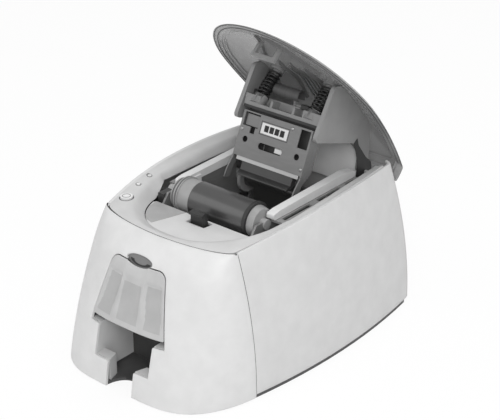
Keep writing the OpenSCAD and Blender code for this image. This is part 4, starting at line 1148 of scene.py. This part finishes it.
# ---------------- parts kept as the CAD has them
KEPT = {
    PAN: ("base_pan", "card_throat"),
    DARK: ("drive_belt", "board_parts", "power_inlet", "latch_hook"),
    FOOT: ("rubber_feet",),
    DECK: ("latch_deck", "output_hopper", "feeder_tray"),
    LIT_RAIL: ("rail_left", "rail_right"),
    GREY: ("inner_decks", "card_guide"),
    CARRIER: ("head_carrier",),
    METAL_GREY: ("side_plates", "cross_braces", "hinge_brackets"),
    CHEEK: ("lid_frame", "lid_catch", "spring_posts"),
    STEEL: ("hinge_shaft", "platen_shaft", "transport_shaft", "feed_shaft", "panel_screws", "usb_socket"),
    BRASS: ("shaft_bushes", "motor_pulley"),
    MOTOR: ("drive_motor", "takeup_motor"),
    BOARD: ("main_board",),
    PALE: ("indicator_lights", "control_button", "head_label", "head_plug"),
    HUB: ("takeup_core", "takeup_drive", "supply_core"),
    FILM: ("ribbon_web", "takeup_roll", "supply_roll"),
    ROLLER: ("platen_roller", "transport_roller", "feed_roller", "pinch_roller"),
    CLEANER: ("cleaning_roller",),
    BRACKET: ("head_bracket",),
    SINK: ("head_sink",),
    HEAD_BLACK: ("thermal_bar",),
    CABLE: ("head_cable",),
}
# Widths of the softened edges, where they differ from EDGE_WIDE
EDGE_WIDE = 0.28
EDGE = {"head_bracket": 0.12, "head_label": 0.05, "head_cable": 0.05, "ribbon_web": 0.04, "takeup_roll": 0.4,
        "control_button": 0.3, "indicator_lights": 0.25}


def dress_kept():
    """Gives the CAD nodes that stay in view their material, softened edges and smooth shading."""
    for material, names in KEPT.items():
        for name in names:
            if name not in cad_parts:
                continue
            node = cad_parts[name]
            mesh = node.data
            mesh.materials.clear()
            mesh.materials.append(material)
            if "custom_normal" in mesh.attributes:
                mesh.attributes.remove(mesh.attributes["custom_normal"])
            for polygon in mesh.polygons:
                polygon.use_smooth = True
                polygon.material_index = 0
            weld = node.modifiers.new("weld", "WELD")
            weld.merge_threshold = 0.00001
            bevel = node.modifiers.new("edges", "BEVEL")
            bevel.width = EDGE.get(name, EDGE_WIDE) * MM
            bevel.segments = 2
            bevel.limit_method = "ANGLE"
            bevel.angle_limit = math.radians(36)
            bevel.use_clamp_overlap = True
            even = node.modifiers.new("even_normals", "WEIGHTED_NORMAL")
            even.keep_sharp = False


def paint(name, material, chosen):
    """Gives the faces of a CAD node another material where chosen(centre, normal) holds, at rest in mm."""
    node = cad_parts[name]
    mesh = node.data
    mesh.materials.append(material)
    place = node.matrix_world
    turn = place.to_3x3()
    for polygon in mesh.polygons:
        if chosen(place @ polygon.center / MM, (turn @ polygon.normal).normalized()):
            polygon.material_index = len(mesh.materials) - 1


def paint_faces():
    """Paints painted light on the lid frame's cross panel, painted shade on the carrier's lower front, its
    dark top and the spools' dark ends.
    """
    # Painted light: the cross panel gets a paler copy of the frame's grey
    paint("lid_frame", LIT_PANEL, lambda p, n: abs(p.x) < 41.3 and abs(n.x) < 0.5)
    into = Vector((0, math.cos(HEAD_LEAN), -math.sin(HEAD_LEAN)))
    up = Vector((0, math.sin(HEAD_LEAN), math.cos(HEAD_LEAN)))
    corner = Vector((0, HEAD_Y, HEAD_Z))
    # Painted shade: the carrier's front faces below its beam are dark, for the shadowed gap over the plate
    paint("head_carrier", DARK, lambda p, n: n.dot(into) < -0.7 and (p - corner).dot(up) < 42)
    paint("head_carrier", PAN, lambda p, n: (p - corner).dot(up) > 54.7)
    paint("takeup_roll", DARK, lambda p, n: p.x > 35.6)
    paint("takeup_core", PAN, lambda p, n: -38.6 < p.x < -36.8 and abs(n.x) < 0.5)
    paint("takeup_drive", PAN, lambda p, n: -43.5 < p.x < -42.1 and abs(n.x) < 0.5)


# ---------------- studio
FLOOR_HALF = 3.0
FLOOR_GLOW = 0.9
WORLD_LIGHT = 0.52


def make_floor():
    h = FLOOR_HALF
    mesh = bpy.data.meshes.new("floor")
    mesh.from_pydata([(-h, -h, 0), (h, -h, 0), (h, h, 0), (-h, h, 0)], [], [(0, 1, 2, 3)])
    material = bpy.data.materials.new("floor")
    material.use_nodes = True
    tree = material.node_tree
    link = tree.links.new
    shader = tree.nodes["Principled BSDF"]
    shader.inputs["Base Color"].default_value = (0.9, 0.9, 0.9, 1)
    shader.inputs["Roughness"].default_value = 0.8
    shader.inputs["Specular IOR Level"].default_value = 0.0
    glow = add_node(tree, "ShaderNodeEmission")
    mix = add_node(tree, "ShaderNodeMixShader")
    path = add_node(tree, "ShaderNodeLightPath")
    amount = add_node(tree, "ShaderNodeMath")
    amount.operation = "MULTIPLY"
    amount.inputs[1].default_value = FLOOR_GLOW
    link(path.outputs["Is Camera Ray"], amount.inputs[0])
    link(amount.outputs["Value"], mix.inputs["Fac"])
    link(shader.outputs["BSDF"], mix.inputs[1])
    link(glow.outputs["Emission"], mix.inputs[2])
    link(mix.outputs["Shader"], tree.nodes["Material Output"].inputs["Surface"])
    mesh.materials.append(material)
    floor = add_object("floor", mesh)


# Name, place and target in metres, size in metres and power in watts of each lamp
LAMPS = (("key", (0.9, -1.1, 1.3), (0, 0, 0.1), 0.9, 8.5),
         ("fill", (-1.2, -0.9, 0.8), (0, 0, 0.1), 1.2, 3),
         ("front", (0.77, -0.91, 0.7), (0, 0, 0.15), 0.5, 2.8),
         ("top", (0.1, 0.3, 1.6), (0, 0, 0.1), 1.0, 9))


def make_light(name, at, target, size, power):
    data = bpy.data.lights.new(name, "AREA")
    data.shape = "DISK"
    data.size = size
    data.energy = power
    lamp = add_object(name, data)
    lamp.location = at
    lamp.rotation_mode = "QUATERNION"
    lamp.rotation_quaternion = (Vector(target) - Vector(at)).to_track_quat("-Z", "Y")


def make_world():
    world = bpy.data.worlds.new("studio")
    world.use_nodes = True
    tree = world.node_tree
    link = tree.links.new
    soft = tree.nodes["Background"]
    soft.inputs["Color"].default_value = (1, 1, 1, 1)
    soft.inputs["Strength"].default_value = WORLD_LIGHT
    white = add_node(tree, "ShaderNodeBackground", Strength=1.0, Color=(1, 1, 1, 1))
    mix = add_node(tree, "ShaderNodeMixShader")
    path = add_node(tree, "ShaderNodeLightPath")
    link(path.outputs["Is Camera Ray"], mix.inputs["Fac"])
    link(soft.outputs["Background"], mix.inputs[1])
    link(white.outputs["Background"], mix.inputs[2])
    link(mix.outputs["Shader"], tree.nodes["World Output"].inputs["Surface"])
    bpy.context.scene.world = world


# ---------------- build
make_front()
make_sides()
make_rear()
make_bezel()
make_rims()
make_seam_shade()
make_door()
make_door_sunk_shade()
make_finger_pocket()
make_lid()
make_ribs()
make_springs()
make_deck_fold_shade()
make_arm_shade_plates()
make_lid_shade_lines()
make_head_details()
dress_kept()
paint_faces()

make_floor()
make_world()
for lamp in LAMPS:
    make_light(*lamp)
make_camera()
bpy.context.scene.view_settings.view_transform = "Standard"

bpy.context.view_layer.update()
